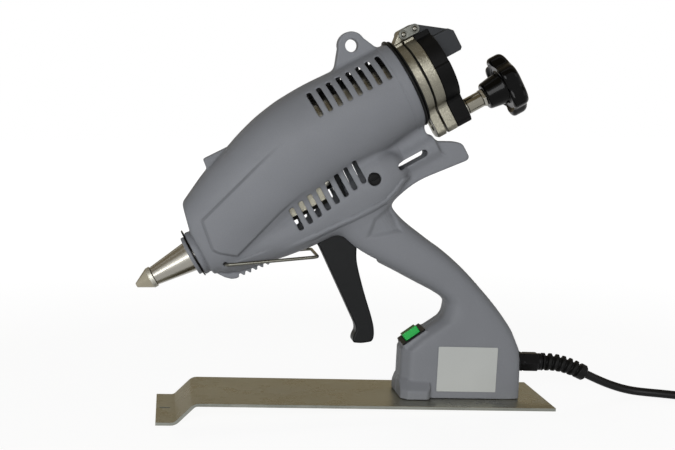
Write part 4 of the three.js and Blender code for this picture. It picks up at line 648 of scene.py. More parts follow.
CORD_LENGTH, CORD_R = 2000, 3.9
PROTECTOR = [(1.3, 0, 35), (12, 0, 34.2), (24, 0, 31.4), (35, 0, 26.9), (44, 0, 22.3)]
LEAD = [
    (44.3, 0, 22.2), (56, 0, 16.4), (68, -0.5, 11.2), (80, -2, 7.2), (91, -4.6, 4.9), (102, -9, 4.1),
    (113, -15, 4), (124, -22, 4), (131.5, -27, 4), (137.9, -33.3, 4.2), (143.1, -40.7, 4.7),
    (146.9, -48.8, 5),
]
TAIL = [(0.3, 0, 0), (8, 0.4, 0), (20, 3, 0.4), (32, 9, 1.4), (43, 18, 3), (51, 30, 4.3), (54.5, 42, 5.2)]
TURNS, PITCH, RISE, DIP, START = 6.25, 8.5, 8.4, 1.6, math.radians(200)
start_x, start_y, coil_z = LEAD[-1]
wound = CORD_LENGTH
for way in (PROTECTOR, LEAD, TAIL):
    wound -= length_of(smooth_line(way))
per_layer = (TURNS - 0.5) / 2
middle = wound / (TURNS * 2 * math.pi)
inner, outer = middle - per_layer * PITCH / 2, middle + per_layer * PITCH / 2
coil_centre = np.array([start_x - outer * math.cos(START), start_y - outer * math.sin(START)])
coil = []
steps = round(TURNS * 24)
for i in range(steps + 1):
    turn = i / steps * TURNS
    climb = min(1, max(0, (turn - per_layer) * 2))
    if climb == 0:
        r = outer - PITCH * turn
    elif climb == 1:
        r = inner + PITCH * (turn - per_layer - 0.5)
    else:
        r = inner - DIP * math.sin(climb * math.pi)
    a = START + turn * 2 * math.pi
    coil.append((coil_centre[0] + r * math.cos(a), coil_centre[1] + r * math.sin(a), coil_z + RISE * climb))
heading = np.subtract(coil[-1], coil[-2])
turn = math.atan2(heading[1], heading[0])
ct, st = math.cos(turn), math.sin(turn)
out_end = np.array(coil[-1]) + 2 * CORD_R * heading / np.linalg.norm(heading)
tail = [tuple(out_end + np.array([a * ct - b * st, a * st + b * ct, c])) for a, b, c in TAIL]
route = smooth_line(PROTECTOR + LEAD[1:-1] + coil + tail, 4.0)
curve = bpy.data.curves.new("mains_cord", "CURVE")
curve.dimensions = "3D"
curve.bevel_depth = CORD_R * MM
curve.bevel_resolution = 6
curve.use_fill_caps = True
spline = curve.splines.new("POLY")
spline.points.add(len(route) - 1)
for p, q in zip(spline.points, placed(route, GROUND)):
    p.co = (*q, 1)
curve.materials.append(M_CORD)
cord = bpy.data.objects.new("mains_cord", curve)
bpy.context.collection.objects.link(cord)
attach(cord, "gun")
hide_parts("cord_lead", "cord_coil", "cord_tail")

# Bend protector: tapered sleeve with a thick thread round it
THREAD_TURNS = 7
line = smooth_line(PROTECTOR, 0.45)
n_line = len(line)


def thread(i, a):
    """Radius of the sleeve at a point of its line and an angle."""
    s = i / (n_line - 1)
    wave = 0.5 + 0.5 * math.cos(2 * math.pi * (s * THREAD_TURNS) + a)
    fade = min(1, s * 14, max(0, 0.87 - s) * 18)
    return 8.4 - 0.9 * s - 2.7 * fade * (1 - min(1, wave * 1.5)) - 1.2 * max(0, (s - 0.97) / 0.03)


verts, faces = sweep(line, thread, 40)
piece("bend_protector_sleeve", verts, faces, GROUND, M_RUBBER, "bend_protector", sharp=60)

# Plug and its pins
PIN_OUT = 9.5  # each pin's way from the middle
tail_line = smooth_line(tail, 0.5)
way = tail_line[-1] - tail_line[-3]
plug_end = tail_line[-1] + GAP * way / np.linalg.norm(way)
plug_place = GROUND @ turn_z(math.atan2(way[1], way[0]), *plug_end)
lo = (-2, -20, -20)
x, y, z = axes(lo, (60, 20, 20), 0.7)
neck = 6.5 + 1.5 * np.clip(x / 22, 0, 1)
flare = step(x, 18, 31)
body = np.hypot(y, z) - (neck * (1 - flare) + 18.3 * flare)
body = smax(body, x - 58, 3.0)
body = smax(body, -x, 1.5)
grooves = np.sin(np.clip(x - 3, 0, 16) / 16 * 4 * 2 * math.pi) * 0.5 * (1 - flare)
body = body + np.abs(grooves)
finger = np.hypot(x - 42, z) - 9.5
body = less(body, smax(finger, 15.6 - np.abs(y), 2.0), 1.5)
for side in (-1, 1):
    body = less(body, np.maximum(np.hypot(y - side * PIN_OUT, z) - 2.7, 49.5 - x))
plug = formed("mains_plug_body", body, lo, 0.7, plug_place, M_CORD, "mains_plug")
for i, side in enumerate((-1, 1)):
    place = plug_place.copy()
    place[:3, 3] += plug_place[:3, 1] * side * PIN_OUT
    lathe(f"plug_pin_brass_{i + 1}", [(50, 0), (50, 2.4), (77, 2.4), (77, 0)], 0, M_BRASS,
                      [0, 0.2, 1.6, 0], 40, f"plug_pin_{i + 1}", place)

# Tie round the coil
near, far = inner - CORD_R - GAP - DIP, outer + CORD_R + GAP
low, high = coil_z - CORD_R - GAP, coil_z + RISE + CORD_R + GAP
tie_place = GROUND @ turn_z(math.radians(120), *coil_centre, 0)
lo, hi = (near - 2, -6, low - 2), (far + 2, 6, high + 2)
x, y, z = axes(lo, hi, 0.35)
half_x, half_z = (far - near) / 2 + 0.8, (high - low) / 2 + 0.8
ring = rounded_box(x, z, (near + far) / 2, (low + high) / 2, half_x, half_z, 2.2)
band = smax(less(ring, ring + 0.8) + 0 * y, np.abs(y) - 4.5, 0.5)
tie = formed("cord_tie_strap", band, lo, 0.35, tie_place, M_RUBBER, "cord_tie")

# Housing


def table(x, xs, ys):
    """Smooth curve through a table, without overshoot."""
    xs, ys = np.asarray(xs, float), np.asarray(ys, float)
    d = np.diff(ys) / np.diff(xs)
    m = np.r_[d[0], np.where(d[:-1] * d[1:] > 0, 2 * d[:-1] * d[1:] / (d[:-1] + d[1:] + 1e-12), 0), d[-1]]
    i = np.clip(np.searchsorted(xs, x) - 1, 0, len(xs) - 2)
    h = xs[i + 1] - xs[i]
    t = np.clip((x - xs[i]) / h, 0, 1)
    return ((1 + 2 * t) * (1 - t) ** 2 * ys[i] + t * (1 - t) ** 2 * h * m[i]
            + t * t * (3 - 2 * t) * ys[i + 1] + t * t * (t - 1) * h * m[i + 1]).astype(np.float32)


# Share of the barrel's length, then top, half width and roundness
TANK_LOBE = np.array([
    (0, 0.49, 0.62, 2.7), (0.041, 0.545, 0.68, 2.6), (0.166, 0.706, 0.79, 2.5), (0.273, 0.804, 0.87, 2.4),
    (0.351, 0.88, 0.92, 2.3), (0.449, 0.951, 0.96, 2.2), (0.555, 0.991, 0.99, 2.1), (0.647, 1, 1, 2),
    (0.781, 0.988, 1, 2), (1, 0.976, 1, 2),
])
# Share of the barrel's length, then top, bottom and half width
PUMP_LOBE = np.array([
    (0, 0.45, -0.48, 0.48), (0.019, 0.52, -0.5, 0.52), (0.049, 0.52, -0.63, 0.53), (0.148, 0.52, -0.74, 0.54),
    (0.29, 0.48, -0.905, 0.565), (0.462, 0.43, -0.993, 0.565), (0.63, 0.35, -1, 0.565),
    (0.75, 0.2, -0.9, 0.54), (0.82, 0.02, -0.74, 0.45), (0.86, -0.15, -0.58, 0.28),
])
# Back edge, front edge, half width and roundness, from the barrel down to the plate
HANDLE = np.array([
    (184, 214, 226, 167, 14.5, 2.4), (165, 190, 205, 149.9, 20, 2.4), (146, 166.1, 184.2, 132.8, 18.9, 2.5),
    (121.9, 148, 150, 116.3, 18.5, 2.6), (103.6, 135.7, 126, 104.7, 18.5, 2.7),
    (85.2, 120.7, 112, 98, 18.5, 2.8), (66.4, 102, 101, 91, 18.9, 3), (47.2, 80.6, 98.7, 84.6, 19.5, 3.4),
    (33.9, 61.8, 103.4, 72.2, 20.4, 4.5), (27.2, 46, 126, 55.7, 21, 7), (26.2, 36.5, 138.6, 44.1, 21, 9),
    (25.4, 19.8, 138.6, 21.5, 21, 9), (25, 0, 138.9, 0, 21, 9), (24.8, -14, 139.1, -14, 21, 9),
])
ROUND_ROWS = 8  # the handle's rows from here on are joined by straight lines


def lobe(y, v, top, bottom, half, power, h):
    """Rounded tube along the barrel, its section set by its top, bottom, half width and roundness."""
    mid, tall = (top + bottom) / 2, (top - bottom) / 2
    a, c = np.abs(v - mid) / tall, np.abs(y) / half
    g = np.maximum((a**power + c**power) ** (1 / power), 0.05)
    slope = (np.minimum(a / g, 4) ** (power - 1) / tall) ** 2
    slope = slope + (np.minimum(c / g, 4) ** (power - 1) / half) ** 2
    slope = slope + np.gradient(g, h, axis=0) ** 2
    return (g - 1) / np.sqrt(slope)


def handle_plane(xs, zs):
    """In the side view: place along the handle, place across it from -1 in front to 1 behind, half length."""
    rows = HANDLE
    tau = np.arange(0, len(rows) - 1 + 1e-6, 0.02)
    i = np.minimum(tau.astype(int), len(rows) - 2)
    f = (tau - i)[:, None]
    p = np.vstack([2 * rows[0] - rows[1], rows, 2 * rows[-1] - rows[-2]])
    a, b, c, d = (p[i + k] for k in range(4))
    curved = 0.5 * (2 * b + (c - a) * f + (2 * a - 5 * b + 4 * c - d) * f**2 + (3 * b - a - 3 * c + d) * f**3)
    rows = np.where((tau < ROUND_ROWS)[:, None], curved, b + (c - b) * f)
    back = np.stack([-rows[:, 0], rows[:, 1]], 1)
    front = np.stack([-rows[:, 2], rows[:, 3]], 1)
    middle, half = (back + front) / 2, (back - front) / 2
    best = np.full(xs.shape, 9.0, np.float32)
    out_tau = np.zeros(xs.shape, np.float32)
    out_half = np.full(xs.shape, 30.0, np.float32)
    out_s = np.full(xs.shape, 9.0, np.float32)
    last = None
    for k in range(len(tau)):
        rx, rz = xs - middle[k, 0], zs - middle[k, 1]
        hx, hz = half[k]
        cross = rx * hz - rz * hx
        size = math.hypot(hx, hz)
        if last is not None:
            m = (cross < 0) != (last < 0)
            s = (rx * hx + rz * hz) / size**2
            m &= np.abs(s) < best
            if m.any():
                t = last[m] / (last[m] - cross[m])
                best[m] = np.abs(s[m])
                out_s[m] = s[m]
                out_tau[m] = tau[k - 1] + t * 0.02
                out_half[m] = size
        last = cross
    width = np.interp(out_tau, tau, rows[:, 4]).astype(np.float32)
    power = np.interp(out_tau, tau, rows[:, 5]).astype(np.float32)
    return out_tau, out_s, out_half, width, power


def stand_point(u, v):
    """Point of the barrel's side view in the stand's."""
    return (TO_STAND @ np.array([u, 0, v, 1]))[[0, 2]]


LUG_EYE = (271.5, 98.5)
LUG = [(293.6, 80), (243, 80)] + arc(*LUG_EYE, 12.6, 165, 5, 24)
TAIL_WEB = eased(
    [(231, 0), (297.1, 7.4), (294.8, -3.2), (298.9, -13.1), (316.5, -22.9), (321, -27.6), (321, -41.4),
     (317.8, -43.2), (269, -37.6), (231, -43.7)],
    [0, 0, 6, 6, 4, 3, 3, 3, 12, 0],
)
NUB = [(120.4, 52.6), (105.0, 61.4), (106.2, 71.1), (107.9, 71.7), (129, 71), (134.8, 61.4)]
RACK = [(125.3, -22), (67, -3.8), (67, -19.6), (69.1, -25.1), (72.9, -30.7), (77.4, -34.9), (80.5, -36.2),
        (84, -36.8)]
TEETH, TOOTH = 6, 5.9
for i in range(TEETH):
    u0, drop = 84 + i * TOOTH, 37 + 3.5 * i / TEETH
    RACK += [(u0 + TOOTH / 4, -drop + 2.9), (u0 + TOOTH / 2, -drop + 2.9), (u0 + TOOTH * 0.75, -drop),
             (u0 + TOOTH, -drop - 0.583)]
TRIGGER_LENGTH = 117
TRIGGER = [(x * TRIGGER_LENGTH, z * TRIGGER_LENGTH) for x, z in (
    (-0.04, 0.03), (-0.16, -0.15), (-0.225, -0.29), (-0.21, -0.3), (-0.13, -0.456), (-0.04, -0.631),
    (0.048, -0.803), (0.104, -0.913), (0.109, -0.958), (0.091, -0.993), (0.085, -1.027), (0.095, -1.049),
    (0.162, -1.053), (0.243, -1.037), (0.256, -0.994), (0.251, -0.921), (0.223, -0.826), (0.164, -0.665),
    (0.11, -0.494), (0.083, -0.389), (0.08, -0.15), (0.04, 0.03),
)]
TRIGGER_PULL = math.radians(18)
PIVOT = stand_point(PIVOT_U, PIVOT_V)
SCREWS = [(-113.6, 119.7), (-78.1, 87.4), (-35.5, 43.7), (-132.1, 30.4)] + [
    tuple(stand_point(FRONT_FACE + a * BARREL_LENGTH, b * CROWN)) for a, b in ((0.28, 0.6), (0.79, -0.27))
]
BOSS, SCREW_HEAD, SCREW_SHANK = 5.5, 3.9, 2.2  # radii
VENTS, VENT_PITCH = 8, 9.85


def side_relief(U, V):
    """Height of the relief on the sides, over the side view."""
    panel = polygon(U, V, [(79.3, 26.5), (75.2, -1.5), (79.5, -7.3), (92.0, -17.6), (143, -1.0), (200, 12),
                           (200, 62), (143.6, 46.2)])
    bead, along_bead = near_line(U, V, [(128, -32.6), (147, -34.2), (181, -36.2), (214, -37.7), (234, -38.3),
                                        (246, -34.2), (256, -29.6), (262, -31)])
    groove, _ = near_line(U, V, [(92, -18.6), (120, -14.5), (151, -13.0), (200, -6), (240, -1)])
    chin = polygon(U, V, [(79.6, -19), (84.5, -34), (90, -44), (150, -52), (150, -30), (100, -22)])
    facet = polygon(U, V, [(201.1, -59.8), (215.7, -47.3), (236.7, -44.3), (233, -70)])
    grown = np.clip((U - 92) / 60, 0, 1)
    relief = np.zeros(U.shape[:1] + V.shape[1:], np.float32)
    relief += 2.5 * step(-panel, -0.2, 1.5) * (1 - step(U, 122, 180))
    relief += 1.9 * np.sqrt(np.maximum(0, 1 - (bead / 2.6) ** 2)) * step(along_bead, 0.0, 0.25)
    hollow = (0.6 + 2.2 * grown) * np.exp(-((groove / (2.0 + 8.0 * grown)) ** 2))
    relief -= hollow * step(U, 90, 100) * (1 - step(U, 215, 250))
    relief += 1.6 * step(-chin, -0.2, 0.9) * (1 - step(U, 105, 125))
    relief -= 2.0 * step(-facet, -1.5, 3.5)
    relief += 0.9 * step(U, 288.8, 289.6) * step(V, -30, 0)
    return relief


def base_toe(X, Y, Z):
    """Bevelled block at the foot of the handle."""
    front, rear, half, low = -139.4, -112, 28.6, 8.4
    toe = np.maximum(span(X, front, rear), Y - half)
    toe = smax(toe, ((Y - half) * 9.2 + (Z - low) * 9.6) / math.hypot(9.2, 9.6), 0.8)
    toe = smax(toe, (Y - 22.4 + (front - X)) / math.sqrt(2), 0.8)
    toe = smax(toe, (Y - 25.5 + (X - rear)) / math.sqrt(2), 0.8)
    toe = smax(toe, (front - X) * 0.55 + (Y - 22.4) * 0.55 + (Z - low) * 0.63, 0.8)
    return smax(toe, Z - 17.6, 0.8)


def side_openings(U, V):
    """Eye, vents, tail slot and bail bores, over the side view."""
    cuts = np.hypot(U - LUG_EYE[0], V - LUG_EYE[1]) - 5.8
    for i in range(VENTS):
        cuts = np.minimum(cuts, rounded_box(U, V, 215 + VENT_PITCH * i, 69, 2.2, 11, 1.3))
        cuts = np.minimum(cuts, rounded_box(U, V, 153.8 + VENT_PITCH * i, -13 + 1.5 * i, 2.2, 11, 1.3))
    cuts = np.minimum(cuts, rounded_box(U, V, 272, -17.5, 15.5, 3.2, 3.2))
    return np.minimum(cuts, np.hypot(U - BAIL_U, V - BAIL_V) - 1.8)


def housing(h):
    """Fields of the left and the right shell, both drawn on the +Y side."""
    lo = (57.0, -1.6, -269.0)
    u, y, v = axes(lo, (323.0, 42.0, 113.0), h)
    U, V = u[:, 0, :], v[0]
    along = (u - FRONT_FACE) / BARREL_LENGTH
    ct, st = math.cos(BARREL_TILT), math.sin(BARREL_TILT)
    xs = (U * ct - V * st - NOZZLE_REACH).astype(np.float32)
    zs = (U * st + V * ct + NOZZLE_HEIGHT).astype(np.float32)
    X, Z, Y = xs[:, None, :], zs[:, None, :], np.abs(y)

    top, half, power = (table(along, TANK_LOBE[:, 0], TANK_LOBE[:, k]) for k in (1, 2, 3))
    tank = lobe(y, v, top * CROWN, -24 + 29.6 * along, half * 40, power, h)
    top, bottom, half = (table(along, PUMP_LOBE[:, 0], PUMP_LOBE[:, k]) for k in (1, 2, 3))
    pump = lobe(y, v, top * PUMP_HALF, bottom * PUMP_HALF, half * PUMP_HALF, 2.5, h)
    lean = math.radians(13)
    face = (FRONT_FACE + math.tan(lean) * np.maximum(0, v - 21.7) - u) * math.cos(lean)

    tau, s, length, width, power = handle_plane(xs, zs)
    sq, wq, pq, lq = s[:, None, :], width[:, None, :], power[:, None, :], length[:, None, :]
    c = Y / wq
    g = np.maximum((np.abs(sq) ** pq + c**pq) ** (1 / pq), 0.05)
    slope = (np.minimum(np.abs(sq) / g, 3) ** (pq - 1) / lq) ** 2
    slope = slope + (np.minimum(c / g, 3) ** (pq - 1) / wq) ** 2
    grip = np.clip((g - 1) / np.sqrt(slope + 1e-9), -14, 30)
    cut = np.interp(tau, [0, 5, 6, 6.5, 7, 8, 9, 20], [0, 0, 1.5, 5, 7.5, 8.5, 9, 9])[:, None, :]
    front = (-(s + 1) * length)[:, None, :]
    bevel = (front + Y - wq + cut) / math.sqrt(2)
    grip = np.where(cut > 0.3, smax(grip, bevel, 2.0), grip)
    del g, c, slope, bevel, front

    # Outside
    lobes = smin(tank, pump, 5.0)
    hull = smin(smax(smax(lobes, face, 3.0), u - FRONT_FACE - BARREL_LENGTH, 0.8), grip, 9.0)
    hull = hull - side_relief(U, V)[:, None, :] * step(Y, 6, 12)
    web = solid(polygon(U, V, TAIL_WEB)[:, None, :], Y - 8, 2.0)
    lug = solid(polygon(U, V, LUG)[:, None, :], Y - 6, 1.3)
    nub = solid(polygon(U, V, NUB)[:, None, :], Y - 4.6 - 0.45 * np.maximum(0, 71.5 - v), 0.8)
    keel = solid(polygon(U, V, RACK)[:, None, :], Y - 9, 0.6)
    neck = np.maximum(np.hypot(y, v) - 20.8, span(u, 59.5, 72))
    neck = less(neck, np.hypot(np.hypot(y, v) - 20.8, u - 63.9) - 0.7, 0.5)
    ca, sa = math.cos(SWITCH_SLOPE), math.sin(SWITCH_SLOPE)
    lx = (xs - SWITCH_X) * ca + (zs - SWITCH_Z) * sa
    lz = -(xs - SWITCH_X) * sa + (zs - SWITCH_Z) * ca
    seat = solid(rounded_box(lx, lz, 0, -4, 13, 4, 0.5)[:, None, :], Y - 15.2, 0.6)
    whole = hull
    for form, fillet in ((web, 6.0), (lug, 4.0), (nub, 1.5), (keel, 1.0), (neck, 1.2),
                         (base_toe(X, Y, Z), 1.0), (seat, 2.0)):
        whole = smin(whole, form, fillet)
    whole = np.maximum(whole, GAP - Z)
    del hull, web, lug, nub, keel, neck, form

    # Inside
    room = smin(lobes, np.maximum(grip, -Z), 9.0) + WALL
    for wall in (face + WALL, u - 300, 2.5 - Z, whole + 1.6):
        room = np.maximum(room, wall)
    shell = less(whole, room)
    del tank, pump, lobes, grip, room
    bosses = np.minimum.reduce([np.hypot(xs - sx, zs - sz) for sx, sz in SCREWS])[:, None, :]
    shell = np.minimum(shell, np.maximum(bosses - BOSS, whole + 1.5))
    shell = less(shell, np.maximum(np.hypot(y, v) - 14.4, u - 72))
    shell = less(shell, np.maximum(np.hypot(y, v - TANK_V) - 30.5, span(u, 159.9, 400)))

    # Openings
    shell = less(shell, side_openings(U, V)[:, None, :], 0.7)
    pin = np.hypot(xs - PIVOT[0], zs - PIVOT[1]) - PIN_BORE
    shell = less(shell, np.maximum(pin[:, None, :], Y - 19.3))
    ca, sa = math.cos(TRIGGER_PULL), math.sin(TRIGGER_PULL)
    swept = TRIGGER + [(a * ca - b * sa, a * sa + b * ca) for a, b in TRIGGER]
    upper = [a for a, b in swept if b > -58.5]
    x_slot = span(xs, PIVOT[0] + min(upper) - 0.8, PIVOT[0] + max(upper) + 0.8)
    z_slot = span(zs, PIVOT[1] - 58.5, PIVOT[1] + 6.8)
    shell = less(shell, np.maximum(np.maximum(x_slot, z_slot)[:, None, :], Y - TRIGGER_HALF - 0.8))
    switch = np.maximum(np.abs(lx) - 10.8, span(lz, -20, 4))[:, None, :]
    shell = less(shell, np.maximum(switch, Y - 12.8))
    shell = less(shell, np.maximum(np.hypot(y, Z - GLAND_Z) - 8.3, span(X, -71, 2)))
    shell = np.maximum(shell, 0.2 - y)

    # Screw heads sink into the right shell; the adjuster looks out of the left one
    right = less(shell, np.maximum(bosses - SCREW_HEAD, 11.3 - y))
    right = less(right, bosses - SCREW_SHANK + 0 * y)
    dial = np.hypot(U - DIAL_U, V - DIAL_V)[:, None, :] - 5.9
    left = less(shell, np.maximum(dial, 8 - y))
    left = less(left, np.maximum(bosses - SCREW_SHANK, y - 9.3))
    return lo, left, right


H = 0.92
lo, left, right = housing(H)
formed("housing_shell_left", left, lo, H, BARREL, M_HOUSING, "housing_left", mirror=True)
formed("housing_shell_right", right, lo, H, BARREL, M_HOUSING, "housing_right")
del left, right

# Nozzle, in the barrel's frame

tip = lathe(
    "nozzle_tip_turned",
    [(0, 1.2), (0, TIP_FLAT), (13.5, 9.4), (13.7, 9.4), (13.9, 9.7), (17.1, 9.7), (17.4, 9.4), (17.4, 4.8),
     (11.4, 4.8), (11.4, 1.2)],
    0, M_CONE, [0, 0.5, 0.15, 0.1, 0.15, 0.3, 0.2, 0, 0, 0], 128, "nozzle_tip",
)
tip.data.materials.append(M_BAND)
for face in tip.data.polygons:
    local = np.linalg.inv(BARREL)[:3] @ np.array([*(c / MM for c in face.center), 1])
    face.material_index = int(local[0] > 13.6 and math.hypot(local[1], local[2]) > 9)
lathe(
    "nozzle_tube_turned",
    [(11.7, 2.4), (11.7, 4.5), (17.7, 4.5), (17.7, 8.4), (17.95, 8.7), (54.4, 13.9), (54.4, 14.1),
     (68.3, 14.1), (68.3, 2.4)],
    0, M_NOZZLE, 0.15, 128, "nozzle_tube",
)
lathe("nozzle_collar_ring", [(54.3, 14.4), (54.3, 18.3), (57.5, 18.3), (57.5, 14.4)], 0, M_HOUSING,
      [0.2, 0.9, 0.5, 0.2], 128, "nozzle_collar")
lo = (57, -22.8, -22.8)
x, y, z = axes(lo, (60.2, 22.8, 25), 0.3)
r = np.hypot(y, z)
thick = np.abs(x - 58.5) - 0.7
clip = smax(smax(r - 21.6, 14.4 - r, 0.3), thick, 0.5)
tongue = smax(rounded_box(y, z, 0, 20, 4.5, 4, 1.2) + 0 * x, thick, 0.5)
formed("nozzle_clip_disc", smin(clip, tongue, 0.6), lo, 0.3, BARREL, M_GLOSS, "nozzle_clip")

# Tank, seal, lid and hinge: places along the barrel, then sizes that several of them share

FLANGE, REAR, LID, LID_REAR, COVER, COVER_REAR = 303.8, 312.2, 313.8, 323.8, 324.1, 338.6
HINGE, HINGE_2, HINGE_V = 316.6, 328.1, 85.6
CUP, MOUTH, DISC, EAR_LOW = 30.2, 26.6, 34, -12  # radii, and the ears' low end
LINK_END, RIVET_BORE = 4.4, 2.3
lathe(
    "tank_cup",
    [(160.2, 0), (160.2, 22), (174.2, CUP), (FLANGE + 1, CUP), (FLANGE + 1, MOUTH), (174.2, MOUTH),
     (163.8, 18.4), (163.8, 0)],
    TANK_V, M_TANK, [0, 1.5, 3, 0, 0, 3, 1.5, 0], 96, "tank",
)


def ear(y, z, half, low):
    """Bevelled ear below a disc."""
    side = smax(np.abs(y) - half, (np.abs(y) - half + (low - z) + 4) / math.sqrt(2), 0.8)
    return smax(smax(side, low - z, 0.8), z - 40, 0.1)


def plate_ring(x, y, z, front, rear, edge):
    """Disc round the tank's line with an ear below it, as one rounded slab."""
    flat = smin(np.hypot(y, z - TANK_V) - DISC, ear(y, z, 12, EAR_LOW), 4.0)
    return solid(flat, np.abs(x - (front + rear) / 2) - (rear - front) / 2, edge)


def saddle(x, y, z, front, rear):
    """Flat seat on top of a disc, just under the hinge links."""
    flat = np.maximum(np.abs(y) - 11.6, np.abs(z - 75) - 5.3)
    return solid(flat, np.abs(x - (front + rear) / 2) - (rear - front) / 2, 0.6)


h = 0.42
lo = (301.5, -36, -14)
x, y, z = axes(lo, (323, 36, 92), h)
r = np.hypot(y, z - TANK_V)
eye = polygon(*over(x, z), arc(HINGE, HINGE_V, LINK_END, -90, 120, 22)
              + [(FLANGE + 1, 81.2), (FLANGE + 1, 74), (REAR, 74), (REAR, 81.2)])
flange = plate_ring(x, y, z, FLANGE, REAR, 0.7)
flange = smin(flange, solid(eye, np.abs(y) - 8.7, 0.7), 2.0)
flange = smin(flange, saddle(x, y, z, FLANGE, REAR), 1.0)
flange = smax(flange, MOUTH - r, 0.6)
flange = smax(flange, 5.4 - np.hypot(y, z), 0.6)
formed("tank_flange", flange, lo, h, BARREL, M_CAST, "tank")

seal = [
    (298.3, 30.5), (298.3, 41.6), (298.7, 42.3), (299.5, 42.5), (300.2, 42.2), (300.4, 41.4), (300.5, 38.6),
    (301.4, 38.4), (301.6, 39.8), (301.9, 40.5), (302.6, 40.7), (303.3, 40.4), (303.5, 39.6), (303.5, 30.5),
]
lathe("twin_lip_seal", seal, TANK_V, M_RUBBER, 0.3, 128, "tank_seal", sharp=60)
lathe("lid_gasket_ring", [(312.5, MOUTH), (312.5, 32.5), (313.5, 32.5), (313.5, MOUTH)], TANK_V, M_RUBBER,
      0.3, 96, "lid_gasket", body="lid")

lo = (308.5, -36, -14)
x, y, z = axes(lo, (325.5, 36, 81), h)
r = np.hypot(y, z - TANK_V)
ring = smin(plate_ring(x, y, z, LID, LID_REAR, 0.8), saddle(x, y, z, LID, LID_REAR), 1.0)
lip = np.maximum(span(r, 22.4, 25.4), np.abs(x - 312.5) - 2.6)
ring = smax(smin(ring, lip, 0.4), SPINDLE_BORE - np.hypot(y, z), 0.5)
formed("lid_ring_cast", ring, lo, h, BARREL, M_CAST, "lid_ring", body="lid")

lo = (322.5, -36, -14)
x, y, z = axes(lo, (340.5, 36, 81), h)
r = np.hypot(y, z - TANK_V)
swell = 33.4 - 1.3 * step(z, 46.2, 48.4)
cover = solid(smin(r - swell, ear(y, z, 11, EAR_LOW), 3.0), span(x, COVER, COVER_REAR), 0.9)
cover = smin(cover, saddle(x, y, z, COVER, COVER_REAR), 1.0)
cover = less(cover, smax(r - 25.2, span(x, 323, 335.6), 0.8), 0.5)
cover = smax(cover, SPINDLE_BORE - np.hypot(y, z), 0.5)
cover = less(cover, np.maximum(np.hypot(r - 28.5, x - COVER_REAR) - 0.8, 12 - z), 0.4)
formed("lid_cover_black", cover, lo, h, BARREL, M_COVER, "lid_cover", body="lid")

lo = (322.5, -14.5, 48)
x, y, z = axes(lo, (360.5, 14.5, 91.5), 0.36)
bar = polygon(*over(x, z), arc(HINGE_2, HINGE_V, LINK_END, 60, 270, 22) + [
    (324.7, 80.2), (324.7, 79.2), (338.9, 79.2), (338.9, 53.4), (348.9, 53.4), (354.9, 72)])
block = polygon(*over(x, z), [
    (338.9, 49.4), (356.9, 49.4), (358.9, 51.4), (358.9, 68), (354.9, 72), (338.9, 72)])
arm = smin(solid(bar, np.abs(y) - 8, 0.9), solid(block, np.abs(y) - 13, 0.9), 0.8)
arm = smax(arm, RIVET_BORE - np.hypot(x - HINGE_2, z - HINGE_V) + 0 * y, 0.3)
formed("lid_arm_block", arm, lo, 0.36, BARREL, M_ARM, "lid_arm", body="lid")

lo = (311, -13.2, 80)
x, y, z = axes(lo, (334, 13.2, 91.2), 0.26)
pill, _ = near_line(*over(x, z), [(HINGE, HINGE_V), (HINGE_2, HINGE_V)])
rivets = np.minimum(np.hypot(x - HINGE, z - HINGE_V), np.hypot(x - HINGE_2, z - HINGE_V))
for side, name in ((-1, "left"), (1, "right")):
    link = solid(pill - LINK_END, np.abs(y * side - 10.5) - 1.5, 0.5)
    link = less(link, np.hypot(rivets - 3.1 + 0 * y, y * side - 12.1) - 0.45, 0.2)
    link = smax(link, RIVET_BORE - rivets + 0 * y, 0.2)
    formed(f"hinge_link_pill_{name}", link, lo, 0.26, BARREL, M_LINK, f"hinge_link_{name}", "hinge_links")

# Rivets across the barrel with turned-over ends
rivet = [(-12.35, 0), (-12.35, 1.1), (-11.8, 2), (11.8, 2), (12.35, 1.1), (12.35, 0)]
for i, u, body in ((1, HINGE, "gun"), (2, HINGE_2, "hinge_links")):
    across = np.eye(4)
    across[:3, :3] = [[0, 0, 1], [1, 0, 0], [0, 1, 0]]
    across[:3, 3] = (u, 0, HINGE_V)
    lathe(f"hinge_rivet_{i}", rivet, 0, M_STEEL, 0.2, 40, f"hinge_pin_{i}", BARREL @ across, body)

# Clamp spindle and star knob

lathe("clamp_washer_ring", [(338.9, SPINDLE_BORE), (338.9, 7.3), (340.4, 7.3), (340.4, SPINDLE_BORE)], 0,
      M_STEEL, 0.25, 64, "clamp_washer", body="clamp_slider")
spindle = [(308.7, 0), (308.7, 4.0)]
u = 309.4
while u < 338.2:
    spindle += [(u, 4.6), (u + 0.5, 4.6), (u + 0.75, 4.1), (u + 1.0, 4.1)]
    u += 1.5
spindle += [(340.7, 4.6), (340.7, 7.1), (341.1, 7.5), (355.6, 7.5), (356, 7.1), (356, 5), (377.8, 5),
            (377.8, 0)]
lathe("clamp_spindle_turned", spindle, 0, M_SPINDLE, 0, 96, "clamp_spindle", body="clamp_screw", sharp=30)
lo = (355.5, -10, -10)
x, y, z = axes(lo, (360.4, 10, 10), 0.25)
thick = np.abs(x - 357.9) - 1.6
nut = smax(hexagon(y, z, 8.9) + 0 * x, thick, 0.3)
nut = smax(nut, (np.hypot(y, z) - 8.5 + thick * 1.7) / 2, 0.3)
nut = smax(nut, 5.3 - np.hypot(y, z) + 0 * x, 0.2)
formed("lock_nut_hex", nut, lo, 0.25, BARREL, M_NUT, "lock_nut", body="clamp_screw")

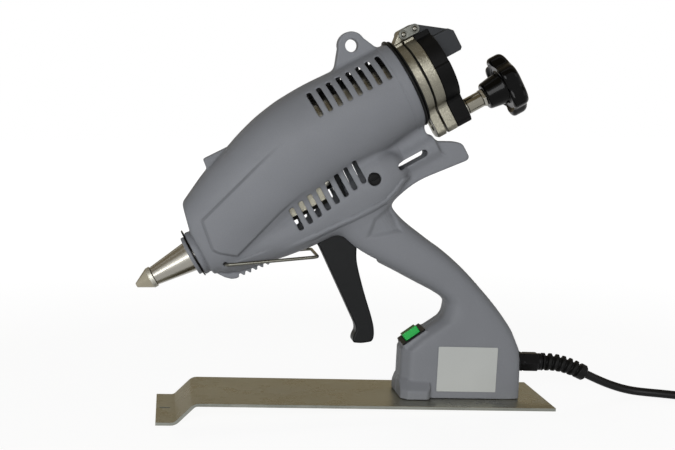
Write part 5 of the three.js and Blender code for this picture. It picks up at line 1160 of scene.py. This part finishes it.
KNOB_LOBES, LOBE_OUT, LOBE_R = 6, 19.8, 9.8
lo = (358.5, -31, -31)
x, y, z = axes(lo, (396, 31, 31), h)
r = np.hypot(y, z)
hub = smax(r - (12.4 + (x - 359.8) / 16 * 2.6), 359.8 - x, 2.2)
hub = smax(hub, x - 379, 1)
wheel = r - 24.2
for k in range(KNOB_LOBES):
    a = math.radians(6 + 360 / KNOB_LOBES * k)
    wheel = smin(wheel, np.hypot(z + LOBE_OUT * math.cos(a), y - LOBE_OUT * math.sin(a)) - LOBE_R, 4.5)
wheel = smax(wheel + 0 * x, 375.8 - x, 4.0)
wheel = smax(wheel, x - (394.6 - 3.6 * (r / 28) ** 2), 5.0)
dish = np.hypot(np.maximum(np.abs(r - 18.6) - 1.6, 0), x - 375.2) - 3.6
star = smin(less(wheel, dish, 1.5), hub, 2.0)
star = less(star, np.maximum(r - 5.3, x - 378.1), 0.2)
formed("star_knob_moulded", star, lo, h, BARREL, M_GLOSS, "star_knob", body="clamp_screw")

# Trigger, round its pivot in the stand's frame

place = STAND.copy()
place[:3, 3] += STAND[:3, 0] * PIVOT[0] + STAND[:3, 2] * PIVOT[1]
head = stand_point(204.69, -0.37) - PIVOT
lo = (-28, -10, -125)
h = 0.45
x, y, z = axes(lo, (31, 10, 37), h)
X, Z = x[:, 0, :] + 0 * z[0], z[0] + 0 * x[:, 0, :]
rounds = [2, 6, 6, 2, 9, 9, 9, 7, 4, 4, 3, 3, 4, 5, 5, 5, 9, 9, 9, 6, 6, 2]
blade = solid(polygon(X, Z, eased(TRIGGER, rounds, 5))[:, None, :], np.abs(y) - TRIGGER_HALF, 1.8)
rod = np.hypot(X, Z)[:, None, :]
push, _ = near_line(X, Z, [(0, 0), tuple(head)])
nose = np.hypot(X - head[0], Z - head[1])[:, None, :]
trigger = smin(blade, solid(rod - 6, np.abs(y) - TRIGGER_HALF, 0.8), 1.5)
trigger = smin(trigger, solid(push[:, None, :] - 2.2, np.abs(y) - 6, 0.6), 1.0)
trigger = smin(trigger, solid(nose - 4, np.abs(y) - 6, 0.6), 1.0)
trigger = smax(trigger, PIN_BORE - rod + 0 * y, 0.3)
formed("trigger_moulded", trigger, lo, h, place, M_TRIGGER, "trigger", body="trigger")

# Bail: its cross bar passes just in front of the trigger
BAIL_LOW, BAIL_HALF = -51.5, 28
to_barrel = np.linalg.inv(TO_STAND)
edge = [(to_barrel @ np.array([PIVOT[0] + a, 0, PIVOT[1] + b, 1]))[[0, 2]] for a, b in TRIGGER]
crossings = []
for i, a in enumerate(edge):
    b = edge[(i + 1) % len(edge)]
    if (a[1] - BAIL_LOW) * (b[1] - BAIL_LOW) <= 0 and abs(b[1] - a[1]) > 1e-9:
        crossings.append(a[0] + (b[0] - a[0]) * (BAIL_LOW - a[1]) / (b[1] - a[1]))
leg_u, leg_v = min(crossings) - 6.2 - BAIL_U, BAIL_LOW - BAIL_V
corners = [
    (BAIL_U + leg_u * d, y, BAIL_V + leg_v * d)
    for d, y in ((0, -16), (0, -BAIL_HALF), (1, -BAIL_HALF), (1, BAIL_HALF), (0, BAIL_HALF), (0, 16))
]
line = evenly(np.array(eased(corners, 5.5, 10, closed=False)), 260)
verts, faces = sweep(line, 1.5, 20)
piece("bail_wire_bent", verts, faces, BARREL, M_WIRE, "wire_bail", body="bail", sharp=60)

# Dial of the adjuster
lo = (224.8, -25.8, -22.2)
x, y, z = axes(lo, (239.2, -14.5, -7.8), 0.2)
r = np.hypot(x - DIAL_U, z - DIAL_V)
face = -(0.54 * PUMP_HALF) - GAP
slot = np.maximum(np.abs(z - DIAL_V) - 0.65 + 0 * x, np.abs(x - DIAL_U) - 4.4)
dial = smax(r - 5.6 + 0 * y, span(y, face, face + 4), 0.5)
dial = less(dial, solid(slot, np.abs(y - face) - 1.1, 0.15), 0.15)
dial = less(dial, np.hypot(r - 4.85, y - face) - 0.3, 0.15)
dial = smin(dial, np.maximum(r - 2, span(y, face + 2, face + 9)), 0.3)
formed("adjuster_dial", dial, lo, 0.2, BARREL, M_BLACK, "temperature_dial", body="adjuster")

# Switch, in a frame on the slope
slope = STAND @ turn_y(-SWITCH_SLOPE, SWITCH_X, SWITCH_Z)
lo = (-13.5, -16, -19)
x, y, z = axes(lo, (13.5, 16, 3.2), 0.32)
bezel = solid(rounded_box(x, y, 0, 0, 12.5, 15, 1.6) + 0 * z, np.abs(z - 0.9) - 0.6, 0.4)
body = np.maximum(rounded_box(x, y, 0, 0, 10.5, 12.5, 0.8) + 0 * z, span(z, -18, 1))
case = less(np.minimum(bezel, body), np.maximum(rounded_box(x, y, 0, 0, 8, 11.3, 0.5) + 0 * z, -9 - z), 0.3)
formed("switch_case", case, lo, 0.32, slope, M_BLACK, "switch_body")
tilt = np.eye(4)
a = math.radians(-10)
tilt[1:3, 1:3] = [[math.cos(a), -math.sin(a)], [math.sin(a), math.cos(a)]]
lo = (-8.5, -11.5, -7)
x, y, z = axes(lo, (8.5, 11.5, 7.6), 0.25)
top = 4.7 + 1.6 * (np.abs(y) / 10.5) ** 1.3
rocker = smax(rounded_box(x, y, 0, 0, 7.7, 10.5, 0.8) + 0 * z, z - top, 0.5)
rocker = smax(rocker, -(z + 6 - np.maximum(0, np.abs(y) - 3.5) * 0.43), 0.3)
for b in (-1, 1):
    rocker = less(rocker, np.hypot(z - top - 0.1, y - b * 7.2) - 0.4 + 0 * x, 0.2)
formed("switch_rocker_green", rocker, lo, 0.25, slope @ tilt, M_GREEN, "switch_rocker", body="rocker")

lo = (-106.4, -22.4, 6.2)
x, y, z = axes(lo, (-48.8, -20.8, 49.8), 0.3)
plate = solid(rounded_box(x, z, -77.6, 28, 28, 21, 1.0) + 0 * y, np.abs(y + 21.6) - 0.3, 0.12)
formed("label_plate_bare", plate, lo, 0.3, STAND, M_LABEL, "label_plate")

# Stand plate: its bent section, pushed across, with a slot and two screw holes cut through

foot = PLATE_LENGTH - FOOT_LENGTH
bend = foot - FOOT_RUN
profile = [
    (0, 0), (-bend, 0), (-foot, -FOOT_DROP), (-PLATE_LENGTH, -FOOT_DROP), (-PLATE_LENGTH, -FOOT_DROP - SHEET),
    (-foot + BEND_SHIFT, -FOOT_DROP - SHEET), (-bend + BEND_SHIFT, -SHEET), (0, -SHEET),
]
profile = np.array(eased(profile, [0.35, 4.4, 2.2, 0.35, 0.35, 4.4, 2.2, 0.35], 4))
EDGE = 0.22  # how far the edges of the sheet are drawn in
way = np.roll(profile, -1, 0) - np.roll(profile, 1, 0)
way /= np.linalg.norm(way, axis=1, keepdims=True)
drawn_in = profile + EDGE * np.stack([-way[:, 1], way[:, 0]], 1)
n = len(profile)
rings = (
    (-PLATE_HALF, drawn_in), (EDGE - PLATE_HALF, profile),
    (PLATE_HALF - EDGE, profile), (PLATE_HALF, drawn_in),
)
verts = [(x, y, z) for y, line in rings for x, z in line]
faces = [
    (k * n + i, k * n + (i + 1) % n, (k + 1) * n + (i + 1) % n, (k + 1) * n + i)
    for k in range(3)
    for i in range(n)
]
for base in (0, 3 * n):
    faces += [(base + i, base + i + 1, base + n - 2 - i, base + n - 1 - i) for i in range(n // 2 - 1)]
bm = bmesh.new()
made = [bm.verts.new(p) for p in verts]
for f in faces:
    bm.faces.new([made[i] for i in f])
bmesh.ops.recalc_face_normals(bm, faces=bm.faces)
blank = bpy.data.meshes.new("plate_blank")
bm.to_mesh(blank)
bm.free()
plate = bpy.data.objects.new("plate_blank", blank)
bpy.context.collection.objects.link(plate)


def cutter(outline, low, high):
    """Upright prism that opens a hole."""
    n = len(outline)
    verts = [(a, b, z) for z in (low, high) for a, b in outline]
    faces = [(i, (i + 1) % n, n + (i + 1) % n, n + i) for i in range(n)]
    faces += [tuple(range(n))[::-1], tuple(range(n, 2 * n))]
    mesh = bpy.data.meshes.new("cutter")
    mesh.from_pydata(verts, [], faces)
    obj = bpy.data.objects.new("cutter", mesh)
    bpy.context.collection.objects.link(obj)
    return obj


slot_line = arc(-352 + 3.4, 0, 1.75, -90, 90, 10) + arc(-352 - 3.4, 0, 1.75, 90, 270, 10)
cutters = [cutter(slot_line, -24, -14)]
for hole_x in (-64, -110):
    cutters.append(cutter(arc(hole_x, 0, 2.8, 0, 345, 24), -5, 2))
for c in cutters:
    m = plate.modifiers.new("hole", "BOOLEAN")
    m.operation, m.object, m.solver = "DIFFERENCE", c, "EXACT"
sheet = bpy.data.meshes.new_from_object(plate.evaluated_get(bpy.context.evaluated_depsgraph_get()))
for o in [plate, *cutters]:
    bpy.data.objects.remove(o)
sheet.transform(Matrix((MM * STAND).tolist()[:3] + [[0, 0, 0, 1]]))
sheet.materials.clear()
finished("stand_plate_bent", sheet, STAND, M_PLATE, "stand_plate", sharp=30)

# Gland, behind the handle

rear_x = -0.179 * BASE_REACH
gland_place = STAND.copy()
gland_place[:3, 3] += STAND[:3, 2] * GLAND_Z
a = rear_x + GAP
lathe("gland_body", [(a - 12, 4.2), (a - 12, 8), (a, 8), (a, 10.6), (a + 2, 10.6), (a + 2, 4.2)], 0, M_BLACK,
      [0, 0.3, 0, 0.4, 0.6, 0], 64, "cable_gland", gland_place)
a = rear_x + 2.6
lo = (a - 0.6, -10.6, -10.6)
x, y, z = axes(lo, (a + 23, 10.6, 10.6), 0.32)
r = np.hypot(y, z)
nut = smax(hexagon(y, z, 9.5) + 0 * x, span(x, a, a + 17.6), 0.5)
nut = smax(nut, (r - 9.1 + (np.abs(x - a - 8.8) - 8.8)) / 1.2, 0.4)
nut = less(nut, np.hypot(r - 9.4, x - a - 3.4) - 0.7, 0.3)
dome = smax(r - 8 + 0 * x, span(x, a + 14, a + 22), 1.5)
dome = less(dome, np.hypot(r - 8.2, x - a - 18.4) - 0.5, 0.2)
nut = smax(smin(nut, dome, 0.5), 4.2 - r + 0 * x, 0.2)
formed("gland_nut_hex", nut, lo, 0.32, gland_place, M_BLACK, "gland_nut")

# Materials of the solids that stay

KEPT = {
    M_CAST: ["pump_body"],
    M_STEEL: ["piston", "check_ball", "trigger_pin", "trigger_spring"],
    M_HEATER: ["heater_cartridge_1", "heater_cartridge_2"],
    M_BLACK: ["thermostat"],
    M_BOARD: ["controller_board"],
    M_CERAMIC: ["terminal_block"],
    M_SCREW: ["stand_screw_1", "stand_screw_2"] + [f"housing_screw_{i}" for i in range(1, 7)],
}
for material, names in KEPT.items():
    for name in names:
        obj = bpy.data.objects[name]
        obj.data.materials.clear()
        obj.data.materials.append(material)
        bevel = obj.modifiers.new("edge", "BEVEL")
        bevel.width, bevel.segments, bevel.limit_method = 0.00025, 2, "ANGLE"
        bevel.angle_limit = math.radians(35)

# Floor, light, world


def direct(tree):
    """1 where a ray comes from the camera, a mirror or glass."""
    rays = tree.nodes.new("ShaderNodeLightPath")
    seen = rays.outputs["Is Camera Ray"]
    for kind in ("Is Glossy Ray", "Is Transmission Ray"):
        either = tree.nodes.new("ShaderNodeMath")
        either.operation = "MAXIMUM"
        tree.links.new(seen, either.inputs[0])
        tree.links.new(rays.outputs[kind], either.inputs[1])
        seen = either.outputs[0]
    return seen


def stage_sheet(name, corners, material):
    """Flat four-cornered piece of the set."""
    mesh = bpy.data.meshes.new(name)
    mesh.from_pydata(corners, [], [(0, 1, 2, 3)])
    mesh.materials.append(material)
    obj = bpy.data.objects.new(name, mesh)
    bpy.context.collection.objects.link(obj)
    return obj


white = Paint("floor_white", Roughness=0.9)
white.b.inputs["Base Color"].default_value = (0.86, 0.86, 0.86, 1)
white.b.inputs["Specular IOR Level"].default_value = 0.0
glow = white.node("Emission", Strength=1.06)
glow.inputs["Color"].default_value = (1, 1, 1, 1)
blend = white.node("MixShader")
from_middle = white.node("VectorMath", operation="LENGTH")
white.link(white.coord, from_middle.inputs[0])
share = white.range(from_middle.outputs["Value"], 0.45, 1.5, 0.86, 1.0)
white.link(white.math("MULTIPLY", direct(white.t), share), blend.inputs[0])
white.link(white.b.outputs[0], blend.inputs[1])
white.link(glow.outputs[0], blend.inputs[2])
white.link(blend.outputs[0], white.out.inputs["Surface"])
stage_sheet("floor", [(-6, -6, 0), (6, -6, 0), (6, 6, 0), (-6, 6, 0)], white.m)

world = bpy.data.worlds.new("studio")
bpy.context.scene.world = world
world.use_nodes = True
wt = world.node_tree
wt.nodes.clear()
w_out = wt.nodes.new("ShaderNodeOutputWorld")
w_mix = wt.nodes.new("ShaderNodeMixShader")
wt.links.new(direct(wt), w_mix.inputs[0])
for i, (color, strength) in enumerate((((1, 0.95, 0.78, 1), 0.11), ((1, 1, 1, 1), 1.0))):
    sky = wt.nodes.new("ShaderNodeBackground")
    sky.inputs[0].default_value = color
    sky.inputs[1].default_value = strength
    wt.links.new(sky.outputs[0], w_mix.inputs[1 + i])
wt.links.new(w_mix.outputs[0], w_out.inputs[0])


def softbox(name, place, size, watts, color=(1, 1, 1)):
    """Rectangular lamp that looks at the middle of the object."""
    lamp = bpy.data.lights.new(name, "AREA")
    lamp.shape = "RECTANGLE"
    lamp.size, lamp.size_y = size
    lamp.energy = watts
    lamp.color = color
    o = bpy.data.objects.new(name, lamp)
    o.location = place
    o.rotation_euler = (Vector((0, 0, 0.15)) - Vector(place)).to_track_quat("-Z", "Y").to_euler()
    bpy.context.collection.objects.link(o)
    return o


softbox("key", (-0.75, -2.3, 0.5), (1.5, 1.5), 56, (0.98, 0.99, 1))
softbox("fill", (1.8, -1.6, 0.7), (1.2, 1.2), 6)
softbox("back", (0.6, 2.4, 0.9), (1.6, 1.2), 28).visible_glossy = False

# Dark panels over and behind the set that only reflections meet
card = Paint("card_olive")
olive = card.node("Emission", Strength=1.0)
olive.inputs["Color"].default_value = (0.32, 0.27, 0.18, 1)
card.link(olive.outputs[0], card.out.inputs["Surface"])
for name, corners in (
    ("card_front", [(-2.4, -1.6, 1.5), (2.4, -1.6, 1.5), (2.4, -0.12, 1.5), (-2.4, -0.12, 1.5)]),
    ("card_back", [(-2.4, 0.12, 1.5), (2.4, 0.12, 1.5), (2.4, 2, 1.5), (-2.4, 2, 1.5)]),
    ("card_rear", [(-3, 2.3, 0), (3, 2.3, 0), (3, 2.3, 1.3), (-3, 2.3, 1.3)]),
):
    obj = stage_sheet(name, corners, card.m)
    obj.visible_camera = obj.visible_diffuse = obj.visible_shadow = False
    obj.visible_transmission = obj.visible_volume_scatter = False
